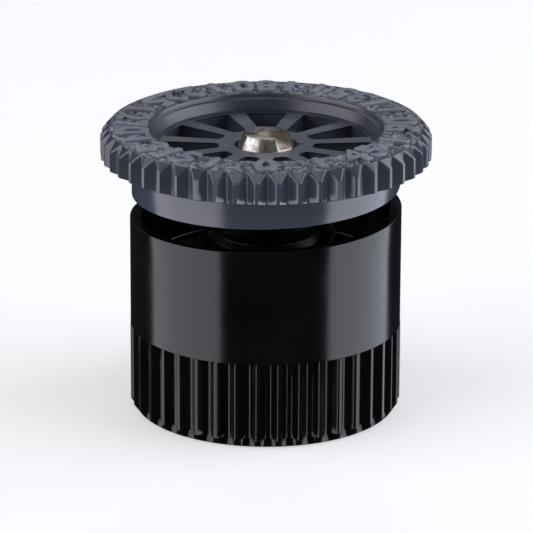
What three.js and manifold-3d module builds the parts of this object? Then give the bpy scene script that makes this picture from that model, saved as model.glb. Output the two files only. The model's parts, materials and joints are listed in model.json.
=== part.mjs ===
// Adjustable-arc spray nozzle for a pop-up sprinkler riser.
//
// The frame is in millimetres with +Z up. The nozzle's axis is the Z axis and z = 0 is the
// flat bottom of the nozzle body. Angles are turned about +Z from +X.
//
// The arc is set by two helical edges of one pitch: the fixed rim of the body and seat, and
// the turning rim of the collar and deflector. The collar rides a right-hand thread of the
// same pitch, so one turn clockwise lowers it by one pitch and closes the gap all round.
// The model is drawn fully open. The middle screw lifts a keyed plug to cut the throw.

import * as THREE from 'three';
import { mergeVertices } from 'three/addons/utils/BufferGeometryUtils.js';
import Module from 'manifold-3d';

const wasm = await Module();
wasm.setup();

// ---------------------------------------------------------------- fits

const STATIC_GAP = 0.3; // between pieces that seat on or press into each other
const RUNNING_GAP = 0.25; // between pieces that turn or slide on each other
const BITE = 0.4; // how far a joined or cutting shape runs past the face it meets
const CLEAR = 1; // how far a cutting shape runs clear of what it cuts
const QUARTER = Math.PI / 2;
const TURN = Math.PI * 2;

// ---------------------------------------------------------------- arc helix

const PITCH = 1.7; // rise of every helical edge in one turn
const CLOSED_GAP = 0.18; // axial gap left between the two helical rims when fully closed
const STEP_ANGLE = QUARTER; // the fixed helices step down at +Y
const STEP_LEAD = THREE.MathUtils.degToRad(3); // the moving step stands this far ahead
const STEP_LAP = THREE.MathUtils.degToRad(0.4); // lap of the ramp's thirds where they join

// ---------------------------------------------------------------- nozzle body

const BODY_RADIUS = 10.96; // smooth upper wall
const WALL = 0.93; // wall of the open cup
const RIM_MID_HEIGHT = 16.43; // rim height half a turn from its step
const RIB_COUNT = 40;
const RIB_STAND_OUT = 0.04; // how far the ribs' crests stand out past the smooth wall
const RIB_DEPTH = 0.72;
const RIB_HEIGHT = 7.03; // the ribs stop here, under the smooth wall
const RIB_LAND = 0.11; // half of a crest's flat, as a share of the rib spacing
const RIB_PHASE = THREE.MathUtils.degToRad(-84);
const FOOT_CHAMFER_HEIGHT = 0.64;
const FOOT_CHAMFER = 0.42;

const THREAD_MAJOR_RADIUS = 7.94; // 5/8-28 female riser thread
const THREAD_PITCH = 0.907;
const THREAD_DEPTH = 0.49;
const THREAD_TURNS = 5;
const THREAD_START = 1.2;
const THREAD_MOUTH_SHARE = 0.42; // half of the groove at its mouth, as a share of the pitch
const THREAD_ROOT_SHARE = 0.08; // half of the groove at its root
const BARREL_WALL = 0.75; // wall outside the thread's roots
const RIB_WALL = 0.75; // wall behind the grooves between the ribs
const MOAT_ROOF = 9.2; // top of the ring-shaped hollow between barrel and skirt
const FLOOR_BOTTOM = 10.4;
const FLOOR_THICKNESS = 1.2;

// ---------------------------------------------------------------- arc seat

const SEAT_WALL = 0.4;
const SEAT_ROOM = 0.55; // ring left between the guide's tongues and the seat's lip
const SEAT_MID_HEIGHT = 14.1; // height of the helical lip half a turn from its step
const SEAT_FLANGE_OVERLAP = 1.2; // how far the flange reaches under the body's floor
const SEAT_FLANGE_THICKNESS = 0.5;
const SEAT_VANES = 4;
const VANE_WIDTH = 0.8;
const GUIDE_TUBE_WALL = 0.85;

// ---------------------------------------------------------------- deflector and stem

const STEM_RADIUS = 2.75;
const STEM_BOTTOM = 7.6;
const THROAT_ROOM = 0.85; // ring left for the water between the seat's lip and the neck
const NECK_BOTTOM = 13.0;
const NECK_SHOULDER = 14.2;
const WAIST_DEPTH = 0.45; // how far the waist is drawn in from the neck
const WAIST_LOW = 14.6;
const WAIST_HIGH = 14.9;
const SEAT_LIP_CLEARANCE = 0.15; // left between throat and seat lip when closed
const EDGE_SET_BACK = 0.1; // how far the deflector's edge stands above the collar's
const DEFLECTOR_RIM = 0.34; // its edge's thickness where the cone is highest
const CLIP_WIDTH = 0.5;
const CLIP_DEPTH = 0.45;
const CLIP_HEIGHT = 7.9;
const CLIP_STAND_OUT = 0.6;
const CLIP_OPENING = THREE.MathUtils.degToRad(50);

// ---------------------------------------------------------------- arc collar

const FLANGE_OVERHANG = 2.5; // how far the crests of the teeth stand out past the skirt
const FLANGE_THICKNESS = 2.33;
const TOOTH_COUNT = 50;
const TOOTH_DEPTH = 0.72;
const TOOTH_LAND = 0.1; // half of a crest's flat, as a share of the tooth spacing
const TOOTH_PHASE = THREE.MathUtils.degToRad(-85.93);
const TOP_CHAMFER = 0.64; // run of the chamfer over the teeth
const TOP_CHAMFER_HEIGHT = 0.7;
const BOWL_RADIUS = 9.3;
const BOWL_STEP_RADIUS = 9.05;
const BOWL_STEP_DEPTH = 0.4;
const BOWL_LIP_SLOPE = 0.08; // run of the small slope under the bowl's lip
const WHEEL_RADIUS = 8.6; // inside of the bowl at the tops of the spokes
const BOWL_DEPTH = 1.45; // from the top face down to the spokes
const WHEEL_THICKNESS = 2.1;
const HUB_RADIUS = 3.7;
const SPOKE_COUNT = 11;
const SPOKE_INNER_WIDTH = 0.8;
const SPOKE_OUTER_WIDTH = 1.25;
const WINDOW_CORNER = 0.35;
const HUB_NOTCH = 0.6; // side of the small pointer notch beside the screw
const SKIRT_SET_BACK = 0.16; // how far the skirt stands back from the body's wall
const SKIRT_WALL = 0.6;
const MARK_COUNT = 8; // raised dial marks on the top ring
const MARK_HEIGHT = 0.25;
const MARK_WIDTH = 0.7;
const MARK_MARGIN = 0.45;
const LUG_HEIGHT = 0.8; // drive lugs on the deflector, standing in the collar's windows
const LUG_WINDOWS = [1, 5, 8];

// ---------------------------------------------------------------- radius screw

const SCREW_TOP_RADIUS = 1.8;
const SCREW_BASE_RADIUS = 2.35;
const SCREW_STAND_OUT = 0.9; // how far the head stands up past the spokes
const SCREW_HEAD_CONE = 1.1; // height of the head's sloping side
const SCREW_HEAD_BAND = 0.7; // height of the straight band under it
const SHANK_RADIUS = 1.25;
const SCREW_THREAD_STAND_OUT = 0.25; // how far the thread stands out past the shank
const SCREW_TIP_CHAMFER = 0.4;
const SLOT_WIDTH = 1.4;
const SLOT_DEPTH = 0.9;
const SLOT_ANGLE = THREE.MathUtils.degToRad(-42);
const O_RING_SECTION = 0.3;
const SEAL_POCKET_WEB = 0.3; // floor left under the seal
const SCREW_CLIP_HEIGHT = 7.0;
const SCREW_CLIP_WIDTH = 0.3;
const SCREW_CLIP_DEPTH = 0.35; // how far its groove is cut into the shank
const SCREW_CLIP_STAND_OUT = 0.35; // how far it stands out past the stem's bore

// ---------------------------------------------------------------- throttle

const THROTTLE_TRAVEL = 1.5;
const PLUG_RIM = 0.6;
const PLUG_THICKNESS = 1.0;
const PLUG_CHAMFER = 0.3;
const PLUG_HUB_RADIUS = 2.6;
const PLUG_HUB_DROP = 0.5;
const SCREW_PAST_PLUG = 0.2; // how far the tip shows under the plug's hub
const GUIDE_THICKNESS = 0.6;
const TONGUE_THICKNESS = 0.55;
const TONGUE_HOLD = 0.3; // how far the tongues still reach in when the collar is down
const TONGUE_WIDTH = 1.6;
const PRONG_WIDTH = 1.6;
const PRONG_THICKNESS = 0.8;

// ---------------------------------------------------------------- worked-out sizes

// The body and its rim.
const CUP_RADIUS = BODY_RADIUS - WALL;
const RIB_CREST_RADIUS = BODY_RADIUS + RIB_STAND_OUT;
const FLOOR_TOP = FLOOR_BOTTOM + FLOOR_THICKNESS;
const THREAD_MINOR_RADIUS = THREAD_MAJOR_RADIUS - THREAD_DEPTH;
const BARREL_RADIUS = THREAD_MAJOR_RADIUS + BARREL_WALL;
const RIM_LOW = RIM_MID_HEIGHT - PITCH / 2;

// The seat, from the stem outwards.
const FLANGE_TOP = FLOOR_BOTTOM - STATIC_GAP;
const SEAT_BOTTOM = FLANGE_TOP - SEAT_FLANGE_THICKNESS;
const GUIDE_TUBE_BORE = STEM_RADIUS + RUNNING_GAP;
const GUIDE_TUBE_RADIUS = GUIDE_TUBE_BORE + GUIDE_TUBE_WALL;
const GUIDE_TUBE_TOP = NECK_BOTTOM - PITCH - STATIC_GAP;
const TONGUE_INNER = GUIDE_TUBE_RADIUS + RUNNING_GAP;
const TONGUE_TOP = SEAT_BOTTOM + PITCH + TONGUE_HOLD;
const GUIDE_RADIUS = TONGUE_INNER + TONGUE_THICKNESS;
const SEAT_INNER_RADIUS = GUIDE_RADIUS + SEAT_ROOM;
const SEAT_RADIUS = SEAT_INNER_RADIUS + SEAT_WALL;
const SEAT_LOW = SEAT_MID_HEIGHT - PITCH / 2;

// The deflector, from the seat upwards.
const OPEN_GAP = PITCH + CLOSED_GAP;
const SKIRT_LOW = RIM_LOW + OPEN_GAP;
const SKIRT_RADIUS = BODY_RADIUS - SKIRT_SET_BACK;
const SKIRT_INNER_RADIUS = SKIRT_RADIUS - SKIRT_WALL;
const DEFLECTOR_RADIUS = SKIRT_INNER_RADIUS - STATIC_GAP;
const DEFLECTOR_EDGE_LOW = SKIRT_LOW + EDGE_SET_BACK;
const DEFLECTOR_TOP = DEFLECTOR_EDGE_LOW + PITCH + DEFLECTOR_RIM;
const NECK_RADIUS = SEAT_INNER_RADIUS - THROAT_ROOM;
const WAIST_RADIUS = NECK_RADIUS - WAIST_DEPTH;
const THROAT_LOW = SEAT_LOW + PITCH + SEAT_LIP_CLEARANCE;

// The collar, from the deflector upwards.
const FLANGE_RADIUS = SKIRT_RADIUS + FLANGE_OVERHANG;
const TOP_FACE_RADIUS = FLANGE_RADIUS - TOP_CHAMFER;
const WHEEL_BOTTOM = DEFLECTOR_TOP + STATIC_GAP;
const WHEEL_TOP = WHEEL_BOTTOM + WHEEL_THICKNESS;
const TOP_HEIGHT = WHEEL_TOP + BOWL_DEPTH;
const CHAMFER_BOTTOM = TOP_HEIGHT - TOP_CHAMFER_HEIGHT;
const FLANGE_BOTTOM = TOP_HEIGHT - FLANGE_THICKNESS;

// The screw in its bore.
const STEM_BORE_RADIUS = SHANK_RADIUS + STATIC_GAP;
const SCREW_THREAD_RADIUS = SHANK_RADIUS + SCREW_THREAD_STAND_OUT;
const COUNTERBORE_RADIUS = SCREW_BASE_RADIUS + STATIC_GAP;
const SEAL_POCKET_FLOOR = WHEEL_BOTTOM + SEAL_POCKET_WEB;
const SCREW_TOP = WHEEL_TOP + SCREW_STAND_OUT;
const SCREW_BASE = SCREW_TOP - SCREW_HEAD_CONE;
const SCREW_SHOULDER = SCREW_BASE - SCREW_HEAD_BAND;
const SCREW_GROOVE_RADIUS = SHANK_RADIUS - SCREW_CLIP_DEPTH;
const SCREW_GROOVE_LOW = SCREW_CLIP_HEIGHT - STATIC_GAP;
const SCREW_GROOVE_HIGH = SCREW_CLIP_HEIGHT + SCREW_CLIP_WIDTH + STATIC_GAP / 2;

// The throttle under the seat.
const GUIDE_TOP = SEAT_BOTTOM - STATIC_GAP;
const GUIDE_BOTTOM = GUIDE_TOP - GUIDE_THICKNESS;
const PRONG_OUTER = GUIDE_RADIUS;
const PRONG_INNER = PRONG_OUTER - PRONG_THICKNESS;
const PLUG_RADIUS = SEAT_RADIUS;
const PLUG_TOP = SCREW_CLIP_HEIGHT - STATIC_GAP - THROTTLE_TRAVEL;
const PLUG_BOTTOM = PLUG_TOP - PLUG_THICKNESS;
const PLUG_HUB_BOTTOM = PLUG_BOTTOM - PLUG_HUB_DROP;
const PLUG_RIM_TOP = SEAT_BOTTOM - RUNNING_GAP - THROTTLE_TRAVEL;
const SCREW_TIP = PLUG_HUB_BOTTOM - SCREW_PAST_PLUG;

// ---------------------------------------------------------------- solids

/** Turns a closed three.js geometry into a manifold solid with its faces pointing out. */
function solid(geometry) {
  const bare = geometry.clone();
  bare.deleteAttribute('normal');
  bare.deleteAttribute('uv');
  const merged = mergeVertices(bare);
  const points = new Float32Array(merged.attributes.position.array);
  const faces = facesWithArea(merged.index.array);
  if (signedVolume(points, faces) < 0) {
    for (let i = 0; i < faces.length; i += 3) {
      [faces[i], faces[i + 1]] = [faces[i + 1], faces[i]];
    }
  }
  return new wasm.Manifold(new wasm.Mesh({ numProp: 3, vertProperties: points, triVerts: faces }));
}

/** Drops the triangles that collapsed when their corners merged. */
function facesWithArea(index) {
  const kept = [];
  for (let i = 0; i < index.length; i += 3) {
    const [a, b, c] = [index[i], index[i + 1], index[i + 2]];
    if (a !== b && b !== c && c !== a) kept.push(a, b, c);
  }
  return new Uint32Array(kept);
}

/** Six times the volume inside a triangle mesh, negative if it is inside out. */
function signedVolume(points, faces) {
  const corner = (i) => new THREE.Vector3().fromArray(points, faces[i] * 3);
  let total = 0;
  for (let i = 0; i < faces.length; i += 3) {
    total += corner(i).dot(corner(i + 1).cross(corner(i + 2)));
  }
  return total;
}

/** Turns a manifold solid back into a three.js geometry. */
function geometryOf(body) {
  const mesh = body.getMesh();
  const points = [];
  for (let i = 0; i < mesh.vertProperties.length; i += mesh.numProp) {
    points.push(...mesh.vertProperties.slice(i, i + 3));
  }
  const geometry = new THREE.BufferGeometry();
  geometry.setAttribute('position', new THREE.Float32BufferAttribute(points, 3));
  geometry.setIndex(Array.from(mesh.triVerts));
  geometry.computeVertexNormals();
  return geometry;
}

const join = (...bodies) => bodies.reduce((sum, body) => sum.add(body));
const cut = (body, ...tools) => tools.reduce((left, tool) => left.subtract(tool), body);

/** A solid of revolution about Z from a closed profile of [radius, height] points. */
function turned(profile, segments = 64) {
  const points = [...profile, profile[0]].map(([r, z]) => new THREE.Vector2(r, z));
  return solid(new THREE.LatheGeometry(points, segments).rotateX(QUARTER));
}

/** A plain ring, or a disc where the inner radius is 0. */
function ring(inner, outer, low, high, segments = 64) {
  return turned([[inner, low], [outer, low], [outer, high], [inner, high]], segments);
}

/** A flat outline in XY carried up from one height to another. */
function prism(shape, low, high, curveSegments = 4) {
  const settings = { depth: high - low, bevelEnabled: false, curveSegments };
  return solid(new THREE.ExtrudeGeometry(shape, settings).translate(0, 0, low));
}

/** A box by its inner and outer radius along a spoke direction, its width and its heights. */
function radialBlock(inner, outer, width, low, high, angle) {
  const block = new THREE.BoxGeometry(outer - inner, width, high - low);
  block.translate((inner + outer) / 2, 0, (low + high) / 2);
  return solid(block.rotateZ(angle));
}

/**
 * A section carried round the axis. The section is a convex list of [radius, height] points,
 * anticlockwise with the radius to the right, and may change with the turn.
 */
function carried(sectionAt, from, to, steps) {
  const sections = Array.from({ length: steps + 1 }, (_, i) => {
    const turn = from + ((to - from) * i) / steps;
    return sectionAt(turn).map(([r, z]) => [r * Math.cos(turn), r * Math.sin(turn), z]);
  });
  const size = sections[0].length;
  const index = [];
  for (let i = 0; i < steps; i += 1) {
    for (let j = 0; j < size; j += 1) {
      const [a, b] = [i * size + j, i * size + ((j + 1) % size)];
      index.push(a, a + size, b + size, a, b + size, b);
    }
  }
  for (let j = 1; j < size - 1; j += 1) {
    const last = steps * size;
    index.push(0, j, j + 1, last, last + j + 1, last + j);
  }
  const geometry = new THREE.BufferGeometry();
  geometry.setAttribute('position', new THREE.Float32BufferAttribute(sections.flat(2), 3));
  geometry.setIndex(index);
  return solid(geometry);
}

/**
 * Everything between two radii that lies above a helical ramp, or below it. The ramp's height
 * at one radius is given by lowAt, and it climbs one pitch in the turn after its step.
 */
function helicalSide(inner, outer, lowAt, far, step, steps = 48) {
  const above = far > lowAt(outer);
  const section = (turn) => {
    const share = THREE.MathUtils.clamp((turn - step) / TURN, 0, 1);
    const rise = PITCH * share;
    const nearInner = [inner, lowAt(inner) + rise];
    const nearOuter = [outer, lowAt(outer) + rise];
    return above
      ? [nearInner, nearOuter, [outer, far], [inner, far]]
      : [[inner, far], [outer, far], nearOuter, nearInner];
  };
  const thirds = [0, 1, 2].map((third) => {
    const from = step + (TURN * third) / 3 - (above && third === 0 ? 0 : STEP_LAP);
    const to = step + (TURN * (third + 1)) / 3 + (above && third === 2 ? STEP_LAP : 0);
    return carried(section, from, to, steps / 3);
  });
  return join(...thirds);
}

/**
 * A toothed ring outline: flat crests with rounded grooves between them. The outline of one
 * tooth is a list of [share of the spacing, share of the depth].
 */
function toothedShape(crest, depth, count, land, phase, hole) {
  const spacing = TURN / count;
  const outline = [
    [-land, 0],
    [land, 0],
    [0.27, 0.72],
    [0.41, 0.97],
    [0.59, 0.97],
    [0.73, 0.72],
  ];
  const points = [];
  for (let i = 0; i < count; i += 1) {
    for (const [share, sink] of outline) {
      const angle = phase + (i + share) * spacing;
      const radius = crest - depth * sink;
      points.push(new THREE.Vector2(radius * Math.cos(angle), radius * Math.sin(angle)));
    }
  }
  const shape = new THREE.Shape(points);
  const inner = new THREE.Path();
  inner.absarc(0, 0, hole, 0, TURN, true);
  shape.holes.push(inner);
  return shape;
}

// ---------------------------------------------------------------- pieces

/** The helical groove of the riser thread, as a cutting tool. */
function threadGroove() {
  const crest = THREAD_MINOR_RADIUS - BITE;
  const mouth = THREAD_PITCH * THREAD_MOUTH_SHARE;
  const root = THREAD_PITCH * THREAD_ROOT_SHARE;
  const section = (turn) => {
    const z = THREAD_START + (THREAD_PITCH * turn) / TURN;
    const slope = mouth * (1 + BITE / THREAD_DEPTH);
    return [
      [crest, z - slope],
      [THREAD_MAJOR_RADIUS, z - root],
      [THREAD_MAJOR_RADIUS, z + root],
      [crest, z + slope],
    ];
  };
  return carried(section, 0, TURN * THREAD_TURNS, 24 * THREAD_TURNS);
}

function nozzleBody() {
  const ribs = prism(
    toothedShape(RIB_CREST_RADIUS, RIB_DEPTH, RIB_COUNT, RIB_LAND, RIB_PHASE, CUP_RADIUS - BITE),
    0,
    RIB_HEIGHT,
    16,
  );
  const foot = turned([
    [0, 0],
    [RIB_CREST_RADIUS - FOOT_CHAMFER, 0],
    [RIB_CREST_RADIUS + BITE * FOOT_CHAMFER / FOOT_CHAMFER_HEIGHT, FOOT_CHAMFER_HEIGHT + BITE],
    [RIB_CREST_RADIUS + BITE, RIB_HEIGHT + BITE],
    [0, RIB_HEIGHT + BITE],
  ], 80);
  const rimTop = RIM_LOW + PITCH + BITE;
  const moatOuter = RIB_CREST_RADIUS - RIB_DEPTH - RIB_WALL;
  const wall = ring(moatOuter, BODY_RADIUS, RIB_HEIGHT - BITE, rimTop, 80);
  const floor = ring(SEAT_RADIUS + STATIC_GAP, BODY_RADIUS - BITE, MOAT_ROOF, FLOOR_TOP, 80);
  const barrel = ring(THREAD_MINOR_RADIUS, BARREL_RADIUS, 0, MOAT_ROOF + BITE, 48);
  const inlet = ring(0, THREAD_MINOR_RADIUS, -CLEAR, FLOOR_BOTTOM, 48);
  const leadIn = turned([
    [0, -BITE],
    [THREAD_MAJOR_RADIUS + BITE, -BITE],
    [THREAD_MAJOR_RADIUS, 0],
    [THREAD_MINOR_RADIUS, THREAD_DEPTH],
    [0, THREAD_DEPTH],
  ], 48);
  const cupHollow = ring(0, CUP_RADIUS, FLOOR_TOP, rimTop + CLEAR, 80);
  const moat = ring(BARREL_RADIUS, moatOuter, -CLEAR, MOAT_ROOF, 64);
  const above = helicalSide(
    CUP_RADIUS - CLEAR,
    BODY_RADIUS + CLEAR,
    () => RIM_LOW,
    rimTop + CLEAR,
    STEP_ANGLE,
  );
  const shell = join(ribs.intersect(foot), wall, floor, barrel);
  return cut(shell, inlet, leadIn, cupHollow, moat, threadGroove(), above);
}

function arcSeat() {
  const lipTop = SEAT_LOW + PITCH + BITE;
  const aboveLip = helicalSide(
    SEAT_INNER_RADIUS - CLEAR,
    SEAT_RADIUS + CLEAR,
    () => SEAT_LOW,
    lipTop + CLEAR,
    STEP_ANGLE,
  );
  const lip = cut(ring(SEAT_INNER_RADIUS, SEAT_RADIUS, SEAT_BOTTOM, lipTop, 48), aboveLip);
  const flangeRadius = SEAT_RADIUS + SEAT_FLANGE_OVERLAP;
  const flange = ring(SEAT_INNER_RADIUS, flangeRadius, SEAT_BOTTOM, FLANGE_TOP, 48);
  const tube = ring(GUIDE_TUBE_BORE, GUIDE_TUBE_RADIUS, SEAT_BOTTOM, GUIDE_TUBE_TOP, 48);
  const vanes = Array.from({ length: SEAT_VANES }, (_, i) => {
    const [inner, outer] = [GUIDE_TUBE_RADIUS - BITE, SEAT_RADIUS - SEAT_WALL / 2];
    const angle = (TURN * (i + 0.5)) / SEAT_VANES;
    return radialBlock(inner, outer, VANE_WIDTH, SEAT_BOTTOM, GUIDE_TUBE_TOP, angle);
  });
  return join(lip, flange, tube, ...vanes);
}

/** One window between two spokes, or the same outline drawn smaller by a margin. */
function windowShape(index, margin = 0) {
  const middle = -QUARTER + (TURN * (index + 0.5)) / SPOKE_COUNT;
  const half = TURN / SPOKE_COUNT / 2;
  const inner = HUB_RADIUS + margin;
  const outer = WHEEL_RADIUS - margin;
  const side = (radius, width) => half - Math.asin((width / 2 + margin) / radius);
  const innerSide = side(inner, SPOKE_INNER_WIDTH);
  const outerSide = side(outer, SPOKE_OUTER_WIDTH);
  const at = (radius, angle) => [radius * Math.cos(angle), radius * Math.sin(angle)];
  const rounded = WINDOW_CORNER / inner;
  const shape = new THREE.Shape();
  shape.moveTo(...at(inner, middle - innerSide + rounded));
  shape.absarc(0, 0, inner, middle - innerSide + rounded, middle + innerSide - rounded, false);
  shape.quadraticCurveTo(
    ...at(inner, middle + innerSide),
    ...at(inner + WINDOW_CORNER, middle + innerSide),
  );
  shape.lineTo(...at(outer, middle + outerSide));
  shape.absarc(0, 0, outer, middle + outerSide, middle - outerSide, true);
  shape.lineTo(...at(inner + WINDOW_CORNER, middle - innerSide));
  shape.quadraticCurveTo(
    ...at(inner, middle - innerSide),
    ...at(inner, middle - innerSide + rounded),
  );
  return shape;
}

/** A small triangular prism pointing outwards from the screw's counterbore. */
function pointerNotch() {
  const shape = new THREE.Shape();
  shape.moveTo(COUNTERBORE_RADIUS - BITE, -HUB_NOTCH / 2);
  shape.lineTo(COUNTERBORE_RADIUS, -HUB_NOTCH / 2);
  shape.lineTo(COUNTERBORE_RADIUS + HUB_NOTCH, 0);
  shape.lineTo(COUNTERBORE_RADIUS, HUB_NOTCH / 2);
  shape.lineTo(COUNTERBORE_RADIUS - BITE, HUB_NOTCH / 2);
  return prism(shape, WHEEL_TOP - HUB_NOTCH, WHEEL_TOP + BITE);
}

function arcCollar() {
  const teeth = prism(
    toothedShape(FLANGE_RADIUS, TOOTH_DEPTH, TOOTH_COUNT, TOOTH_LAND, TOOTH_PHASE, WHEEL_RADIUS),
    FLANGE_BOTTOM,
    TOP_HEIGHT,
    16,
  );
  const chamferRun = (FLANGE_RADIUS - TOP_FACE_RADIUS) / (TOP_HEIGHT - CHAMFER_BOTTOM);
  const envelope = turned([
    [0, FLANGE_BOTTOM - BITE],
    [FLANGE_RADIUS + BITE, FLANGE_BOTTOM - BITE],
    [FLANGE_RADIUS + BITE, CHAMFER_BOTTOM - BITE / chamferRun],
    [TOP_FACE_RADIUS, TOP_HEIGHT],
    [0, TOP_HEIGHT],
  ], 100);
  const skirt = turned([
    [0, RIM_LOW],
    [SKIRT_RADIUS, RIM_LOW],
    [SKIRT_RADIUS, FLANGE_BOTTOM + BITE],
    [0, FLANGE_BOTTOM + BITE],
  ], 80);
  const bowl = turned([
    [0, WHEEL_TOP],
    [WHEEL_RADIUS, WHEEL_TOP],
    [BOWL_STEP_RADIUS, TOP_HEIGHT - BOWL_STEP_DEPTH],
    [BOWL_RADIUS - BOWL_LIP_SLOPE, TOP_HEIGHT - BOWL_STEP_DEPTH + BOWL_LIP_SLOPE],
    [BOWL_RADIUS, TOP_HEIGHT],
    [BOWL_RADIUS, TOP_HEIGHT + CLEAR],
    [0, TOP_HEIGHT + CLEAR],
  ], 80);
  const wheel = ring(0, WHEEL_RADIUS + BITE, WHEEL_BOTTOM, WHEEL_TOP, 64);
  const windows = Array.from({ length: SPOKE_COUNT }, (_, i) =>
    prism(windowShape(i), WHEEL_BOTTOM - CLEAR, WHEEL_TOP + CLEAR, 3));
  const counterbore = ring(0, COUNTERBORE_RADIUS, SEAL_POCKET_FLOOR, WHEEL_TOP + CLEAR, 40);
  const bore = ring(0, SHANK_RADIUS + RUNNING_GAP, WHEEL_BOTTOM - CLEAR, WHEEL_TOP, 32);
  const hollow = ring(0, SKIRT_INNER_RADIUS, RIM_LOW - CLEAR, WHEEL_BOTTOM, 64);
  const below = helicalSide(
    SKIRT_INNER_RADIUS - CLEAR,
    SKIRT_RADIUS + CLEAR,
    () => SKIRT_LOW,
    RIM_LOW - CLEAR,
    STEP_ANGLE + STEP_LEAD,
  );
  const marks = Array.from({ length: MARK_COUNT }, (_, i) => radialBlock(
    BOWL_RADIUS + MARK_MARGIN,
    TOP_FACE_RADIUS - MARK_MARGIN,
    MARK_WIDTH,
    TOP_HEIGHT - BITE,
    TOP_HEIGHT + MARK_HEIGHT,
    -QUARTER + (TURN * i) / MARK_COUNT,
  ));
  const blank = join(cut(join(teeth.intersect(envelope), skirt), bowl), wheel, ...marks);
  return cut(blank, hollow, below, ...windows, counterbore, bore, pointerNotch());
}

function deflectorCore() {
  const coneRise = (DEFLECTOR_EDGE_LOW - THROAT_LOW) / (DEFLECTOR_RADIUS - SEAT_INNER_RADIUS);
  const throatAt = (radius) => THROAT_LOW + coneRise * (radius - SEAT_INNER_RADIUS);
  const disc = ring(0, DEFLECTOR_RADIUS, WAIST_HIGH, DEFLECTOR_TOP);
  const under = helicalSide(
    WAIST_RADIUS,
    DEFLECTOR_RADIUS + CLEAR,
    throatAt,
    NECK_SHOULDER - CLEAR,
    STEP_ANGLE + STEP_LEAD,
  );
  const neck = turned([
    [0, NECK_BOTTOM],
    [NECK_RADIUS, NECK_BOTTOM],
    [NECK_RADIUS, NECK_SHOULDER],
    [WAIST_RADIUS, WAIST_LOW],
    [WAIST_RADIUS, WAIST_HIGH + BITE],
    [0, WAIST_HIGH + BITE],
  ], 48);
  const stem = ring(0, STEM_RADIUS, STEM_BOTTOM, NECK_BOTTOM + BITE, 40);
  const lugs = LUG_WINDOWS.map((i) =>
    prism(windowShape(i, STATIC_GAP), DEFLECTOR_TOP - BITE, DEFLECTOR_TOP + LUG_HEIGHT, 3));
  const bore = ring(0, STEM_BORE_RADIUS, STEM_BOTTOM - CLEAR, DEFLECTOR_TOP + CLEAR, 32);
  const grooveTop = CLIP_HEIGHT + CLIP_WIDTH + STATIC_GAP / 2;
  const grooveLow = CLIP_HEIGHT - STATIC_GAP / 2;
  const clipGroove = ring(STEM_RADIUS - CLIP_DEPTH, STEM_RADIUS + CLEAR, grooveLow, grooveTop, 40);
  return cut(join(cut(disc, under), neck, stem, ...lugs), bore, clipGroove);
}

/** An open spring clip: a flat ring with a mouth. */
function clip(inner, outer, low, width, mouth) {
  const shape = new THREE.Shape();
  shape.absarc(0, 0, outer, mouth / 2, TURN - mouth / 2, false);
  shape.absarc(0, 0, inner, TURN - mouth / 2, mouth / 2, true);
  return prism(shape, low, low + width, 14);
}

function stemClip() {
  const inner = STEM_RADIUS - CLIP_DEPTH + STATIC_GAP / 2;
  return clip(inner, STEM_RADIUS + CLIP_STAND_OUT, CLIP_HEIGHT, CLIP_WIDTH, CLIP_OPENING);
}

function radiusScrew() {
  const blank = turned([
    [0, SCREW_TIP],
    [SCREW_THREAD_RADIUS - SCREW_TIP_CHAMFER, SCREW_TIP],
    [SCREW_THREAD_RADIUS, SCREW_TIP + SCREW_TIP_CHAMFER],
    [SCREW_THREAD_RADIUS, SCREW_GROOVE_LOW],
    [SCREW_GROOVE_RADIUS, SCREW_GROOVE_LOW],
    [SCREW_GROOVE_RADIUS, SCREW_GROOVE_HIGH],
    [SHANK_RADIUS, SCREW_GROOVE_HIGH],
    [SHANK_RADIUS, SCREW_SHOULDER],
    [SCREW_BASE_RADIUS, SCREW_SHOULDER],
    [SCREW_BASE_RADIUS, SCREW_BASE],
    [SCREW_TOP_RADIUS, SCREW_TOP],
    [0, SCREW_TOP],
  ], 40);
  const reach = SCREW_BASE_RADIUS + CLEAR;
  const slotFloor = SCREW_TOP - SLOT_DEPTH;
  const slot = radialBlock(-reach, reach, SLOT_WIDTH, slotFloor, SCREW_TOP + CLEAR, SLOT_ANGLE);
  return cut(blank, slot);
}

function screwORing() {
  const middle = SHANK_RADIUS + RUNNING_GAP + O_RING_SECTION;
  const height = (SCREW_SHOULDER + SEAL_POCKET_FLOOR) / 2;
  const torus = new THREE.TorusGeometry(middle, O_RING_SECTION, 10, 36);
  return solid(torus.translate(0, 0, height));
}

function screwClip() {
  const inner = SCREW_GROOVE_RADIUS + STATIC_GAP / 2;
  const outer = STEM_BORE_RADIUS + SCREW_CLIP_STAND_OUT;
  return clip(inner, outer, SCREW_CLIP_HEIGHT, SCREW_CLIP_WIDTH, CLIP_OPENING);
}

/** Ring on the stem with two tongues up between the seat's vanes and two prongs down. */
function throttleGuide() {
  const plate = ring(GUIDE_TUBE_BORE, GUIDE_RADIUS, GUIDE_BOTTOM, GUIDE_TOP, 48);
  const grips = [0, Math.PI].flatMap((angle) => [
    radialBlock(TONGUE_INNER, GUIDE_RADIUS, TONGUE_WIDTH, GUIDE_BOTTOM, TONGUE_TOP, angle),
    radialBlock(PRONG_INNER, PRONG_OUTER, PRONG_WIDTH, PLUG_BOTTOM, GUIDE_TOP, angle + QUARTER),
  ]);
  return join(plate, ...grips);
}

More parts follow.
